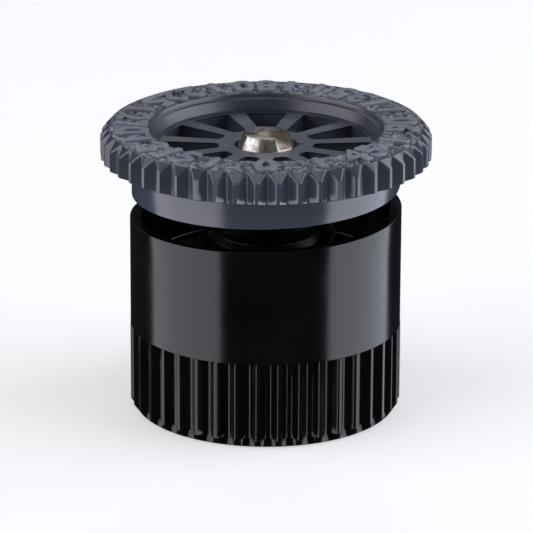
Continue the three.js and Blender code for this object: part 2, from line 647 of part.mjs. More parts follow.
function throttlePlug() {
  const blank = turned([
    [0, PLUG_HUB_BOTTOM],
    [PLUG_HUB_RADIUS, PLUG_HUB_BOTTOM],
    [PLUG_HUB_RADIUS, PLUG_BOTTOM],
    [PLUG_RADIUS - PLUG_CHAMFER, PLUG_BOTTOM],
    [PLUG_RADIUS, PLUG_BOTTOM + PLUG_CHAMFER],
    [PLUG_RADIUS, PLUG_RIM_TOP],
    [PLUG_RADIUS - PLUG_RIM, PLUG_RIM_TOP],
    [PLUG_RADIUS - PLUG_RIM, PLUG_TOP],
    [0, PLUG_TOP],
  ], 48);
  const bore = ring(0, SCREW_THREAD_RADIUS + RUNNING_GAP, SCREW_TIP - CLEAR, PLUG_TOP + CLEAR, 32);
  const keyways = [QUARTER, -QUARTER].map((angle) => radialBlock(
    PRONG_INNER - RUNNING_GAP,
    PRONG_OUTER + RUNNING_GAP,
    PRONG_WIDTH + RUNNING_GAP * 2,
    PLUG_BOTTOM - CLEAR,
    PLUG_TOP + CLEAR,
    angle,
  ));
  return cut(blank, bore, ...keyways);
}

// ---------------------------------------------------------------- assembly

const FINISHES = {
  glossBlack: new THREE.MeshStandardMaterial({ color: 0x0b0a0c, roughness: 0.22 }),
  innerBlack: new THREE.MeshStandardMaterial({ color: 0x141316, roughness: 0.45 }),
  slateGrey: new THREE.MeshStandardMaterial({ color: 0x555a66, roughness: 0.48 }),
  acetal: new THREE.MeshStandardMaterial({ color: 0xc9c6bd, roughness: 0.5 }),
  steel: new THREE.MeshStandardMaterial({ color: 0xb9b4ad, roughness: 0.22, metalness: 1 }),
  rubber: new THREE.MeshStandardMaterial({ color: 0x1b1b1c, roughness: 0.85 }),
};

const PIECES = [
  ['nozzle_body', nozzleBody, FINISHES.glossBlack],
  ['arc_seat', arcSeat, FINISHES.innerBlack],
  ['throttle_guide', throttleGuide, FINISHES.acetal],
  ['throttle_plug', throttlePlug, FINISHES.acetal],
  ['deflector_core', deflectorCore, FINISHES.innerBlack],
  ['stem_clip', stemClip, FINISHES.steel],
  ['arc_collar', arcCollar, FINISHES.slateGrey],
  ['radius_screw', radiusScrew, FINISHES.steel],
  ['screw_o_ring', screwORing, FINISHES.rubber],
  ['screw_clip', screwClip, FINISHES.steel],
];

const nozzle = new THREE.Group();
for (const [name, make, finish] of PIECES) {
  const mesh = new THREE.Mesh(geometryOf(make()), finish);
  mesh.name = name;
  nozzle.add(mesh);
}

export default nozzle;
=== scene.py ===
"""Looks for an adjustable-arc spray nozzle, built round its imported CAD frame.

Every length in this file is in millimetres until a mesh is made, where it becomes metres.
Angles are radians about +Z, measured from +X. The step of both helical rims is at +Y.
"""

import json
import logging
import math
from dataclasses import dataclass, field
from enum import Enum
from typing import Callable, Sequence

import bmesh
import bpy
import numpy as np
from mathutils import Matrix, Vector
from mathutils.geometry import tessellate_polygon


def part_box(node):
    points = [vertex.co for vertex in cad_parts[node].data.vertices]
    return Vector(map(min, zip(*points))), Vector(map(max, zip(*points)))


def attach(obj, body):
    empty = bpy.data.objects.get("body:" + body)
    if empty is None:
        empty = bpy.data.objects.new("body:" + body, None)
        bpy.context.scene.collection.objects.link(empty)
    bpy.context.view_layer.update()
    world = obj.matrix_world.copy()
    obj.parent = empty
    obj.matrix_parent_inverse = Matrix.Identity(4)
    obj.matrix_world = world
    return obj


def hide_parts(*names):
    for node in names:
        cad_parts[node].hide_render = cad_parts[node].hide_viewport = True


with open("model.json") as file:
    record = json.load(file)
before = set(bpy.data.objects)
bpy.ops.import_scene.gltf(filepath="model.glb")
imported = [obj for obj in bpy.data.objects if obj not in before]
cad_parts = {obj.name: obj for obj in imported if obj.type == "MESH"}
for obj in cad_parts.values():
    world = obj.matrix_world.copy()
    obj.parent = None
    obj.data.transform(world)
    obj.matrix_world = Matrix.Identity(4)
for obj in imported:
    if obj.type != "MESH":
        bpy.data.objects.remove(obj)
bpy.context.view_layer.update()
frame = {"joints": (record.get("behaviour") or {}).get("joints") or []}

LOG = logging.getLogger("nozzle")
MM = 0.001
TURN = 2.0 * math.pi
Array = np.ndarray
SHARP_EDGE = math.radians(38.0)
STEP_SLIVER = 2e-4
FRONT = -math.pi / 2


class Body(str, Enum):
    """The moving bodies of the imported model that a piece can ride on."""

    BODY = "body"
    GUIDE = "guide"
    COLLAR = "collar"
    SCREW = "screw"
    PLUG = "plug"


class Slot(str, Enum):
    """The record's material slots."""

    BODY_PLASTIC = "body_plastic"
    INNER_PLASTIC = "inner_plastic"
    COLLAR_PLASTIC = "collar_plastic"
    ACETAL = "acetal"
    STEEL = "steel"
    SEAL_RUBBER = "seal_rubber"


# ---------------------------------------------------------------- sizes read from the frame


def corner(node: str, high: bool, axis: int) -> float:
    """One side of a CAD node's box.

    Args:
        node: the CAD node's name.
        high: True for the highest side, False for the lowest.
        axis: 0, 1 or 2 for X, Y or Z.

    Returns:
        The coordinate in millimetres.
    """
    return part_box(node)[1 if high else 0][axis] / MM


def radius_of(node: str) -> float:
    """The largest half-width of a CAD node about the nozzle's axis, in millimetres."""
    low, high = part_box(node)
    return max(-low.x, -low.y, high.x, high.y) / MM


@dataclass(frozen=True)
class Helix:
    """The ramp that the body's rim, the seat, the skirt and the throat all share.

    Args:
        pitch: rise in one turn, the travel of the arc_lift joint.
        step: angle of the step down.
        lead: how far the collar's step stands ahead of the body's.
    """

    pitch: float
    step: float = math.pi / 2
    lead: float = math.radians(3.0)

    def rise(self, turn: Array, moving: bool) -> Array:
        """Height above the mid-turn height: pitch times the share of a turn since the step, less half.

        Args:
            turn: angles about +Z.
            moving: True for the collar's helix, False for the body's.

        Returns:
            The rise at each angle, from minus half a pitch to plus half a pitch.
        """
        start = self.step + (self.lead if moving else 0.0)
        share = np.mod(turn - start, TURN) / TURN
        return self.pitch * (share - 0.5)


LIFT = next(j for j in frame["joints"] if j["name"] == "arc_lift")
HELIX = Helix(pitch=-LIFT["range_m"][0] / MM)

# ---------------------------------------------------------------- meshes


def rounded(corners: Sequence[Sequence[float]], steps: int = 5) -> Array:
    """A closed profile with an arc at each corner.

    Each corner row is radius, height, fillet radius, then any number of shares that are
    blended along with the points. The arc touches both sides at fillet / tan(half angle)
    from the corner, and its points are spread evenly in angle.

    Args:
        corners: the rows, in order round the profile.
        steps: straight pieces in each arc.

    Returns:
        An array of points with radius, height and the blended shares in its columns.
    """
    rows = np.array(corners, float)
    count = len(rows)
    out = []
    for i in range(count):
        here, before, after = rows[i], rows[i - 1], rows[(i + 1) % count]
        fillet = here[2]
        to_before, to_after = before[:2] - here[:2], after[:2] - here[:2]
        len_b, len_a = np.linalg.norm(to_before), np.linalg.norm(to_after)
        if fillet <= 0.0 or min(len_a, len_b) < 1e-9:
            out.append(np.delete(here, 2))
            continue
        unit_b, unit_a = to_before / len_b, to_after / len_a
        half = math.acos(float(np.clip(unit_a @ unit_b, -1.0, 1.0))) / 2.0
        if half > math.radians(88.0):
            out.append(np.delete(here, 2))
            continue
        reach = min(fillet / math.tan(half), 0.48 * len_b, 0.48 * len_a)
        radius = reach * math.tan(half)
        middle = unit_a + unit_b
        centre = here[:2] + middle / np.linalg.norm(middle) * radius / math.sin(half)
        start = here[:2] + unit_b * reach - centre
        end = here[:2] + unit_a * reach - centre
        sweep = math.pi - 2.0 * half
        for k in range(steps + 1):
            t = k / steps
            spot = centre + (math.sin((1 - t) * sweep) * start + math.sin(t * sweep) * end) / math.sin(sweep)
            out.append(np.concatenate([spot, here[3:]]))
    return np.array(out)


def subdivided(profile: Array, longest: float) -> Array:
    """The same closed profile with no straight piece longer than a given length.

    Args:
        profile: rows whose first two columns are radius and height.
        longest: the longest piece allowed, in millimetres.

    Returns:
        The profile with evenly spaced rows added by linear blending.
    """
    out = []
    for here, after in zip(profile, np.roll(profile, -1, axis=0)):
        pieces = max(1, math.ceil(float(np.hypot(*(after - here)[:2])) / longest))
        share = np.arange(pieces)[:, None] / pieces
        out.append(here + (after - here) * share)
    return np.concatenate(out)


def mesh_object(
    name: str, points: Array, faces: Array, caps: Sequence[Sequence[int]] = ()
) -> bpy.types.Object:
    """A smooth mesh object from numpy arrays, at the origin.

    Args:
        name: the piece's name.
        points: N by 3 coordinates in millimetres.
        faces: M by 4 vertex numbers.
        caps: extra many-sided faces.

    Returns:
        The linked object, with its mesh in metres.
    """
    mesh = bpy.data.meshes.new(name)
    mesh.from_pydata((points * MM).tolist(), [], faces.tolist() + [list(c) for c in caps])
    mesh.validate()
    mesh.shade_smooth()
    mesh.set_sharp_from_angle(angle=SHARP_EDGE)
    piece = bpy.data.objects.new(name, mesh)
    bpy.context.scene.collection.objects.link(piece)
    return piece


def grid_faces(rows: int, columns: int, close_rows: bool, close_columns: bool) -> Array:
    """Quads of a grid whose vertex number is row times columns plus column.

    Args:
        rows: number of rows.
        columns: number of columns.
        close_rows: join the last row to the first.
        close_columns: join the last column to the first.

    Returns:
        The quads, wound so that rows going anticlockwise about +Z and columns going
        anticlockwise round the section give faces that point outwards.
    """
    i = np.arange(rows if close_rows else rows - 1)[:, None]
    j = np.arange(columns if close_columns else columns - 1)[None, :]
    nexti, nextj = (i + 1) % rows, (j + 1) % columns
    quads = [i * columns + j, nexti * columns + j, nexti * columns + nextj, i * columns + nextj]
    return np.stack(quads, axis=-1).reshape(-1, 4)


def angles(count: int, extra: Sequence[float] = ()) -> Array:
    """Even angles round a turn, with extra ones put in where a step needs them."""
    even = np.arange(count) * TURN / count
    return np.unique(np.round(np.concatenate([even, np.mod(extra, TURN)]), 9))


def turned(
    name: str,
    corners: Sequence[Sequence[float]],
    turn: Array,
    shape: Callable[[Array, Array], tuple[Array, Array]] | None = None,
    longest: float = 50.0,
    steps: int = 5,
) -> bpy.types.Object:
    """A closed section carried once round the axis.

    The point at angle t and section row s is (r cos t, r sin t, z), where shape may change
    r and z from both. Rows of the grid are angles and columns are section points.

    Args:
        name: the piece's name.
        corners: the section's corners, as rounded() takes them, anticlockwise.
        turn: the angles to use.
        shape: takes the angles as a column and the section rows, and returns r and z.
        longest: the longest straight piece in the section.
        steps: straight pieces in each corner's arc.

    Returns:
        The linked object.
    """
    section = subdivided(rounded(corners, steps), longest)
    column = turn[:, None]
    if shape is None:
        radius, height = np.broadcast_arrays(section[:, 0][None, :], section[:, 1][None, :])
        radius = np.repeat(radius, len(turn), axis=0)
        height = np.repeat(height, len(turn), axis=0)
    else:
        radius, height = shape(column, section)
    points = np.stack([radius * np.cos(column), radius * np.sin(column), height], axis=-1)
    faces = grid_faces(len(turn), len(section), True, True)
    return mesh_object(name, points.reshape(-1, 3), faces)


def swept_arc(
    name: str, corners: Sequence[Sequence[float]], start: float, end: float, count: int
) -> bpy.types.Object:
    """A closed section carried round part of a turn, with flat ends.

    Args:
        name: the piece's name.
        corners: the section's corners, anticlockwise.
        start: first angle.
        end: last angle.
        count: number of angles.

    Returns:
        The linked object.
    """
    section = rounded(corners, 3)
    turn = np.linspace(start, end, count)[:, None]
    radius, height = section[:, 0][None, :], section[:, 1][None, :]
    points = np.stack(np.broadcast_arrays(radius * np.cos(turn), radius * np.sin(turn), height), axis=-1)
    size = len(section)
    last = (count - 1) * size
    caps = [list(range(size)), [last + j for j in reversed(range(size))]]
    return mesh_object(name, points.reshape(-1, 3), grid_faces(count, size, False, True), caps)


def polar_block(
    inner: float, outer: float, width: float, low: float, high: float, angle: float
) -> tuple[Array, Array]:
    """A rectangular block along a radius.

    Args:
        inner: nearest distance from the axis.
        outer: farthest distance from the axis.
        width: size across the radius.
        low: bottom height.
        high: top height.
        angle: the radius's angle.

    Returns:
        Eight points and six outward quads.
    """
    x = np.array([inner, outer, outer, inner] * 2)
    y = np.array([-1, -1, 1, 1] * 2) * width / 2
    z = np.repeat([low, high], 4)
    c, s = math.cos(angle), math.sin(angle)
    points = np.stack([x * c - y * s, x * s + y * c, z], axis=-1)
    faces = np.array([[3, 2, 1, 0], [4, 5, 6, 7], [0, 1, 5, 4], [1, 2, 6, 5], [2, 3, 7, 6], [3, 0, 4, 7]])
    return points, faces


def blocks(name: str, parts: Sequence[tuple[Array, Array]], bevel: float) -> bpy.types.Object:
    """Several blocks as one object, with bevelled edges of a given width."""
    offsets = np.cumsum([0] + [len(p) for p, _ in parts[:-1]])
    points = np.concatenate([p for p, _ in parts])
    faces = np.concatenate([f + o for (_, f), o in zip(parts, offsets)])
    piece = mesh_object(name, points, faces)
    modifier = piece.modifiers.new("Edge", "BEVEL")
    modifier.width = bevel * MM
    modifier.segments = 3
    return baked(piece)


def baked(piece: bpy.types.Object) -> bpy.types.Object:
    """Applies a piece's modifiers to its mesh and keeps its smooth shading."""
    graph = bpy.context.evaluated_depsgraph_get()
    mesh = bpy.data.meshes.new_from_object(piece.evaluated_get(graph))
    piece.modifiers.clear()
    piece.data = mesh
    mesh.name = piece.name
    mesh.shade_smooth()
    mesh.set_sharp_from_angle(angle=SHARP_EDGE)
    return piece


def carved(piece: bpy.types.Object, tools: Sequence[bpy.types.Object]) -> bpy.types.Object:
    """Cuts tools out of a piece and removes the tools.

    Args:
        piece: the closed mesh to cut.
        tools: closed meshes to take away.

    Returns:
        The same object with its mesh cut.
    """
    for tool in tools:
        modifier = piece.modifiers.new("Cut", "BOOLEAN")
        modifier.operation = "DIFFERENCE"
        modifier.solver = "EXACT"
        modifier.object = tool
    baked(piece)
    for tool in tools:
        bpy.data.objects.remove(tool)
    return piece


def plate(name: str, outlines: Sequence[Array], low: float, high: float, bevel: float) -> bpy.types.Object:
    """A flat plate with holes and rounded edges.

    Each outline is stepped inwards by bevel times 1 less the sine of an angle and down by
    bevel times 1 less its cosine, for a quarter turn, which rounds the edge.

    Args:
        name: the piece's name.
        outlines: the outside anticlockwise, then the holes clockwise, as N by 2 arrays.
        low: bottom height.
        high: top height.
        bevel: radius of the rounded edges.

    Returns:
        The linked object.
    """
    quarter = np.linspace(0.0, math.pi / 2, 4)
    insets = np.concatenate([[bevel + 0.03], bevel * (1.0 - np.sin(quarter))])
    drops = np.concatenate([[0.0], bevel * (1.0 - np.cos(quarter))])
    insets = np.concatenate([insets, insets[::-1]])
    heights = np.concatenate([high - drops, low + drops[::-1]])
    points, faces, caps, first = [], [], [], 0
    for outline in outlines:
        ahead = np.roll(outline, -1, axis=0) - outline
        ahead /= np.linalg.norm(ahead, axis=1, keepdims=True)
        left = np.stack([-ahead[:, 1], ahead[:, 0]], axis=1)
        inward = left + np.roll(left, 1, axis=0)
        inward /= np.clip((inward * left).sum(axis=1, keepdims=True), 0.3, None)
        spots = outline[None] + insets[:, None, None] * inward[None]
        tall = np.broadcast_to(heights[:, None, None], (*spots.shape[:2], 1))
        points.append(np.concatenate([spots, tall], axis=2).reshape(-1, 3))
        faces.append(grid_faces(len(heights), len(outline), False, True)[:, ::-1] + first)
        caps.append(np.arange(len(outline)) + first)
        first += len(heights) * len(outline)
    points = np.concatenate(points)
    numbers = np.concatenate(caps)
    lasts = np.concatenate([c + (len(heights) - 1) * len(c) for c in caps])
    ends = []
    for tri in tessellate_polygon([[Vector(points[v]) for v in cap] for cap in caps]):
        a, b, c = (points[numbers[v]][:2] for v in tri)
        up = tri if (b[0] - a[0]) * (c[1] - a[1]) - (b[1] - a[1]) * (c[0] - a[0]) > 0 else tri[::-1]
        ends += [[numbers[v] for v in up], [lasts[v] for v in reversed(up)]]
    return mesh_object(name, points, np.concatenate(faces), [[int(v) for v in end] for end in ends])


def value_noise(rows: int, columns: int, grain_rows: float, grain_columns: float, seed: int) -> Array:
    """Smooth random heights on a grid that repeats in both directions.

    White noise is blurred by a bell curve in the frequency domain, then scaled to unit spread.

    Args:
        rows: grid rows.
        columns: grid columns.
        grain_rows: blur radius along the rows' direction, in cells.
        grain_columns: blur radius along the columns' direction, in cells.
        seed: seed of the random numbers.

    Returns:
        The heights, with mean 0 and standard deviation 1.
    """
    noise = np.random.default_rng(seed).standard_normal((rows, columns))
    fr = np.fft.fftfreq(rows)[:, None] * grain_rows
    fc = np.fft.fftfreq(columns)[None, :] * grain_columns
    blurred = np.fft.ifft2(np.fft.fft2(noise) * np.exp(-2.0 * (math.pi ** 2) * (fr ** 2 + fc ** 2))).real
    return (blurred - blurred.mean()) / blurred.std()


# ---------------------------------------------------------------- finishes


def linear(colour: str) -> tuple[float, float, float, float]:
    """A '#rrggbb' sRGB colour as linear light with full alpha.

    Each channel c is c / 12.92 under 0.04045, and ((c + 0.055) / 1.055) to the power 2.4 above it.
    """
    channels = [int(colour[i : i + 2], 16) / 255.0 for i in (1, 3, 5)]
    light = [c / 12.92 if c <= 0.04045 else ((c + 0.055) / 1.055) ** 2.4 for c in channels]
    return (*light, 1.0)


class Graph:
    """A material's node tree, with one way of adding a node."""

    def __init__(self, name: str) -> None:
        """Starts an empty material with a Principled shader on its output."""
        self.material = bpy.data.materials.new(name)
        self.material.use_nodes = True
        self.tree = self.material.node_tree
        self.tree.nodes.clear()
        output = self.tree.nodes.new("ShaderNodeOutputMaterial")
        self.shader = self.tree.nodes.new("ShaderNodeBsdfPrincipled")
        self.tree.links.new(self.shader.outputs[0], output.inputs[0])

    def node(self, kind: str, settings: dict | None = None, **inputs: object) -> bpy.types.Node:
        """Adds a node.

        Args:
            kind: the node type's name without 'ShaderNode'.
            settings: attributes to set on the node.
            inputs: socket values or links. An underscore stands for a space, and in0, in1...
                name a socket by its number.

        Returns:
            The new node.
        """
        made = self.tree.nodes.new("ShaderNode" + kind)
        for key, value in (settings or {}).items():
            setattr(made, key, value)
        self.feed(made, **inputs)
        return made

    def feed(self, node: bpy.types.Node, **inputs: object) -> None:
        """Sets or links a node's inputs, named as in node()."""
        for key, value in inputs.items():
            name = key.replace("_", " ")
            socket = node.inputs[int(key[2:])] if key[:2] == "in" and key[2:].isdigit() else node.inputs[name]
            if isinstance(value, bpy.types.NodeSocket):
                self.tree.links.new(value, socket)
            else:
                socket.default_value = value

    def set(self, **inputs: object) -> None:
        """Sets or links inputs of the shader itself."""
        self.feed(self.shader, **inputs)


@dataclass(frozen=True)
class MouldedPlastic:
    """Injection-moulded plastic: an even colour, a soft gloss and a faint orange peel.

    Args:
        name: the material's name.
        colour: sRGB base colour.
        shade: sRGB colour of the slightly paler rubbed or flow-marked areas.
        roughness: lowest and highest roughness.
        ior: index of refraction.
        peel_mm: size of the orange peel.
        peel_height_mm: height of the orange peel.
        flow_mm: size of the slow change in colour and gloss.
    """

    name: str
    colour: str
    shade: str
    roughness: tuple[float, float]
    ior: float = 1.5
    peel_mm: float = 1.2
    peel_height_mm: float = 0.0012
    flow_mm: float = 5.0

    def build(self) -> bpy.types.Material:
        """Makes the material."""
        graph = Graph(self.name)
        place = graph.node("TexCoord").outputs["Object"]
        flow_scale = 1.0 / (self.flow_mm * MM)
        flow = graph.node("TexNoise", Vector=place, Scale=flow_scale, Detail=3.0, Roughness=0.55)
        mix = graph.node("MapRange", {"clamp": True}, Value=flow.outputs["Fac"], From_Min=0.35, From_Max=0.65)
        tone = graph.node("Mix", {"data_type": "RGBA"}, Factor=mix.outputs["Result"])
        graph.feed(tone, in6=linear(self.colour), in7=linear(self.shade))
        low, high = self.roughness
        gloss = graph.node("MapRange", Value=mix.outputs["Result"], To_Min=low, To_Max=high)
        peel = graph.node("TexNoise", Vector=place, Scale=1.0 / (self.peel_mm * MM), Detail=2.0)
        bump = graph.node("Bump", Height=peel.outputs["Fac"], Distance=self.peel_height_mm * MM, Strength=1.0)
        graph.set(
            Base_Color=tone.outputs[2],
            Roughness=gloss.outputs["Result"],
            Normal=bump.outputs["Normal"],
            IOR=self.ior,
        )
        return graph.material


@dataclass(frozen=True)
class SparkErodedPlastic:
    """Slate-grey moulding whose top carries the grit of a spark-eroded mould.

    The grit attribute of the mesh is 0 on the glossy faces and 1 on the eroded ones, which are
    rougher and take their colour from a second attribute that follows the height of the grain:
    painted shade, dark, in the pits and a painted highlight, pale, on the peaks. Values between
    the two give the satin of the wheel and bowl, and a low level paints shade on the bowl's wall.
    """

    name: str = "acetal_slate_grey_spark_eroded"
    smooth_colour: str = "#404652"
    colour: str = "#5c616e"
    # Painted shade: the dark colour given to the grain's pits.
    pit_shade_colour: str = "#1f2127"
    # Painted highlight: the pale colour given to the grain's peaks.
    peak_highlight_colour: str = "#a6acb8"
    smooth_roughness: float = 0.2
    grit_roughness: float = 0.5
    grain_mm: float = 0.1
    grain_height_mm: float = 0.05
    flow_mm: float = 3.0
    flow_swing: float = 0.15
    ior: float = 1.72

    def build(self) -> bpy.types.Material:
        """Makes the material."""
        graph = Graph(self.name)
        place = graph.node("TexCoord").outputs["Object"]
        grit = graph.node("Attribute", {"attribute_name": "grit"}).outputs["Fac"]
        # Colour level per vertex: painted shade in the pits, a painted highlight on the peaks.
        tone_and_shade = graph.node("Attribute", {"attribute_name": "tone_and_shade"}).outputs["Fac"]
        flow_scale = 1.0 / (self.flow_mm * MM)
        flow = graph.node("TexNoise", Vector=place, Scale=flow_scale, Detail=4.0, Roughness=0.6)
        shade = graph.node("MapRange", Value=flow.outputs["Fac"], From_Min=0.3, From_Max=0.7)
        graph.feed(shade, To_Min=-self.flow_swing, To_Max=self.flow_swing)
        level = graph.node("Math", {"operation": "ADD"}, in0=tone_and_shade, in1=shade.outputs["Result"])
        ramp = graph.node("ValToRGB", Fac=level.outputs[0])
        ramp.color_ramp.elements[0].color = linear(self.pit_shade_colour)
        ramp.color_ramp.elements[1].color = linear(self.peak_highlight_colour)
        middle = ramp.color_ramp.elements.new(0.5)
        middle.color = linear(self.colour)
        tone = graph.node("Mix", {"data_type": "RGBA"}, Factor=grit, in6=linear(self.smooth_colour))
        graph.feed(tone, in7=ramp.outputs["Color"])
        low, high = self.smooth_roughness, self.grit_roughness
        gloss = graph.node("MapRange", Value=grit, To_Min=low, To_Max=high)
        grain_scale = 1.0 / (self.grain_mm * MM)
        grain = graph.node("TexNoise", Vector=place, Scale=grain_scale, Detail=3.0, Roughness=0.7)
        strong = graph.node("Math", {"operation": "POWER"}, in0=grit, in1=3.0)
        height = graph.node("Math", {"operation": "MULTIPLY"}, in0=grain.outputs["Fac"])
        graph.feed(height, in1=strong.outputs[0])
        tall = self.grain_height_mm * MM
        bump = graph.node("Bump", Height=height.outputs[0], Distance=tall, Strength=1.0)
        graph.set(
            Base_Color=tone.outputs[2],
            Roughness=gloss.outputs["Result"],
            Normal=bump.outputs["Normal"],
            IOR=self.ior,
        )
        return graph.material


@dataclass(frozen=True)
class TurnedSteel:
    """Stainless steel off a lathe: fine rings from the tool, bright flanks and a few dark stains."""

    name: str = "stainless_steel_turned"
    colour: str = "#d9d4cc"
    stain: str = "#857c70"
    roughness: tuple[float, float] = (0.16, 0.34)
    stain_mm: float = 0.7
    feed_mm: float = 0.11
    ring_height_mm: float = 0.0022

    def build(self) -> bpy.types.Material:
        """Makes the material."""
        graph = Graph(self.name)
        place = graph.node("TexCoord").outputs["Object"]
        parts = graph.node("SeparateXYZ", Vector=place)
        flat = graph.node("CombineXYZ", X=parts.outputs["X"], Y=parts.outputs["Y"])
        reach = graph.node("VectorMath", {"operation": "LENGTH"}, in0=flat.outputs[0])
        path = graph.node("Math", {"operation": "SUBTRACT"}, in0=reach.outputs["Value"])
        graph.feed(path, in1=parts.outputs["Z"])
        per_metre = TURN / (self.feed_mm * MM)
        turns = graph.node("Math", {"operation": "MULTIPLY"}, in0=path.outputs[0], in1=per_metre)
        wave = graph.node("Math", {"operation": "SINE"}, in0=turns.outputs[0])
        stain_scale = 1.0 / (self.stain_mm * MM)
        blotch = graph.node("TexNoise", Vector=place, Scale=stain_scale, Detail=4.0, Roughness=0.65)
        spread = graph.node("MapRange", Value=blotch.outputs["Fac"], From_Min=0.4, From_Max=0.75)
        tone = graph.node("Mix", {"data_type": "RGBA"}, Factor=spread.outputs["Result"])
        graph.feed(tone, in6=linear(self.colour), in7=linear(self.stain))
        low, high = self.roughness
        gloss = graph.node("MapRange", Value=spread.outputs["Result"], To_Min=low, To_Max=high)
        tall = self.ring_height_mm * MM
        bump = graph.node("Bump", Height=wave.outputs[0], Distance=tall, Strength=1.0)
        graph.set(
            Base_Color=tone.outputs[2],
            Metallic=1.0,
            Roughness=gloss.outputs["Result"],
            Normal=bump.outputs["Normal"],
        )
        return graph.material


@dataclass(frozen=True)
class Finishes:
    """All the finishes of the nozzle, made once."""

    body: bpy.types.Material
    inner: bpy.types.Material
    collar: bpy.types.Material
    acetal: bpy.types.Material
    steel: bpy.types.Material
    rubber: bpy.types.Material

    @staticmethod
    def make() -> "Finishes":
        """Builds every material."""
        return Finishes(
            body=MouldedPlastic("abs_black_gloss_moulded", "#08070a", "#0d0c10", (0.15, 0.2)).build(),
            inner=MouldedPlastic(
                "acetal_black_satin_moulded", "#0b0a0c", "#121114", (0.28, 0.36), 1.48
            ).build(),
            collar=SparkErodedPlastic().build(),
            acetal=MouldedPlastic(
                "acetal_natural_moulded", "#cfccc2", "#bdb9ad", (0.36, 0.46), 1.48
            ).build(),
            steel=TurnedSteel().build(),
            rubber=MouldedPlastic(
                "nitrile_rubber_moulded",
                "#161617",
                "#1f1f20",
                (0.6, 0.75),
                ior=1.52,
                peel_mm=0.25,
                peel_height_mm=0.004,
                flow_mm=1.5,
            ).build(),
        )


def settle(
    piece: bpy.types.Object, finish: bpy.types.Material, body: Body, slot: Slot, *nodes: str
) -> None:
    """Dresses a piece, hides the CAD nodes it stands in for, sets what it rides on, and logs it."""
    piece.data.materials.clear()
    piece.data.materials.append(finish)
    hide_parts(*nodes)
    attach(piece, body.value)
    LOG.info("%s: %d faces, rides on %s", piece.name, len(piece.data.polygons), body.value)


def hold_attribute(piece: bpy.types.Object, name: str, values: Array) -> None:
    """Stores one number per vertex as a named attribute."""
    made = piece.data.attributes.new(name, "FLOAT", "POINT")
    made.data.foreach_set("value", values.astype(np.float32).ravel())


# ---------------------------------------------------------------- sub-assemblies


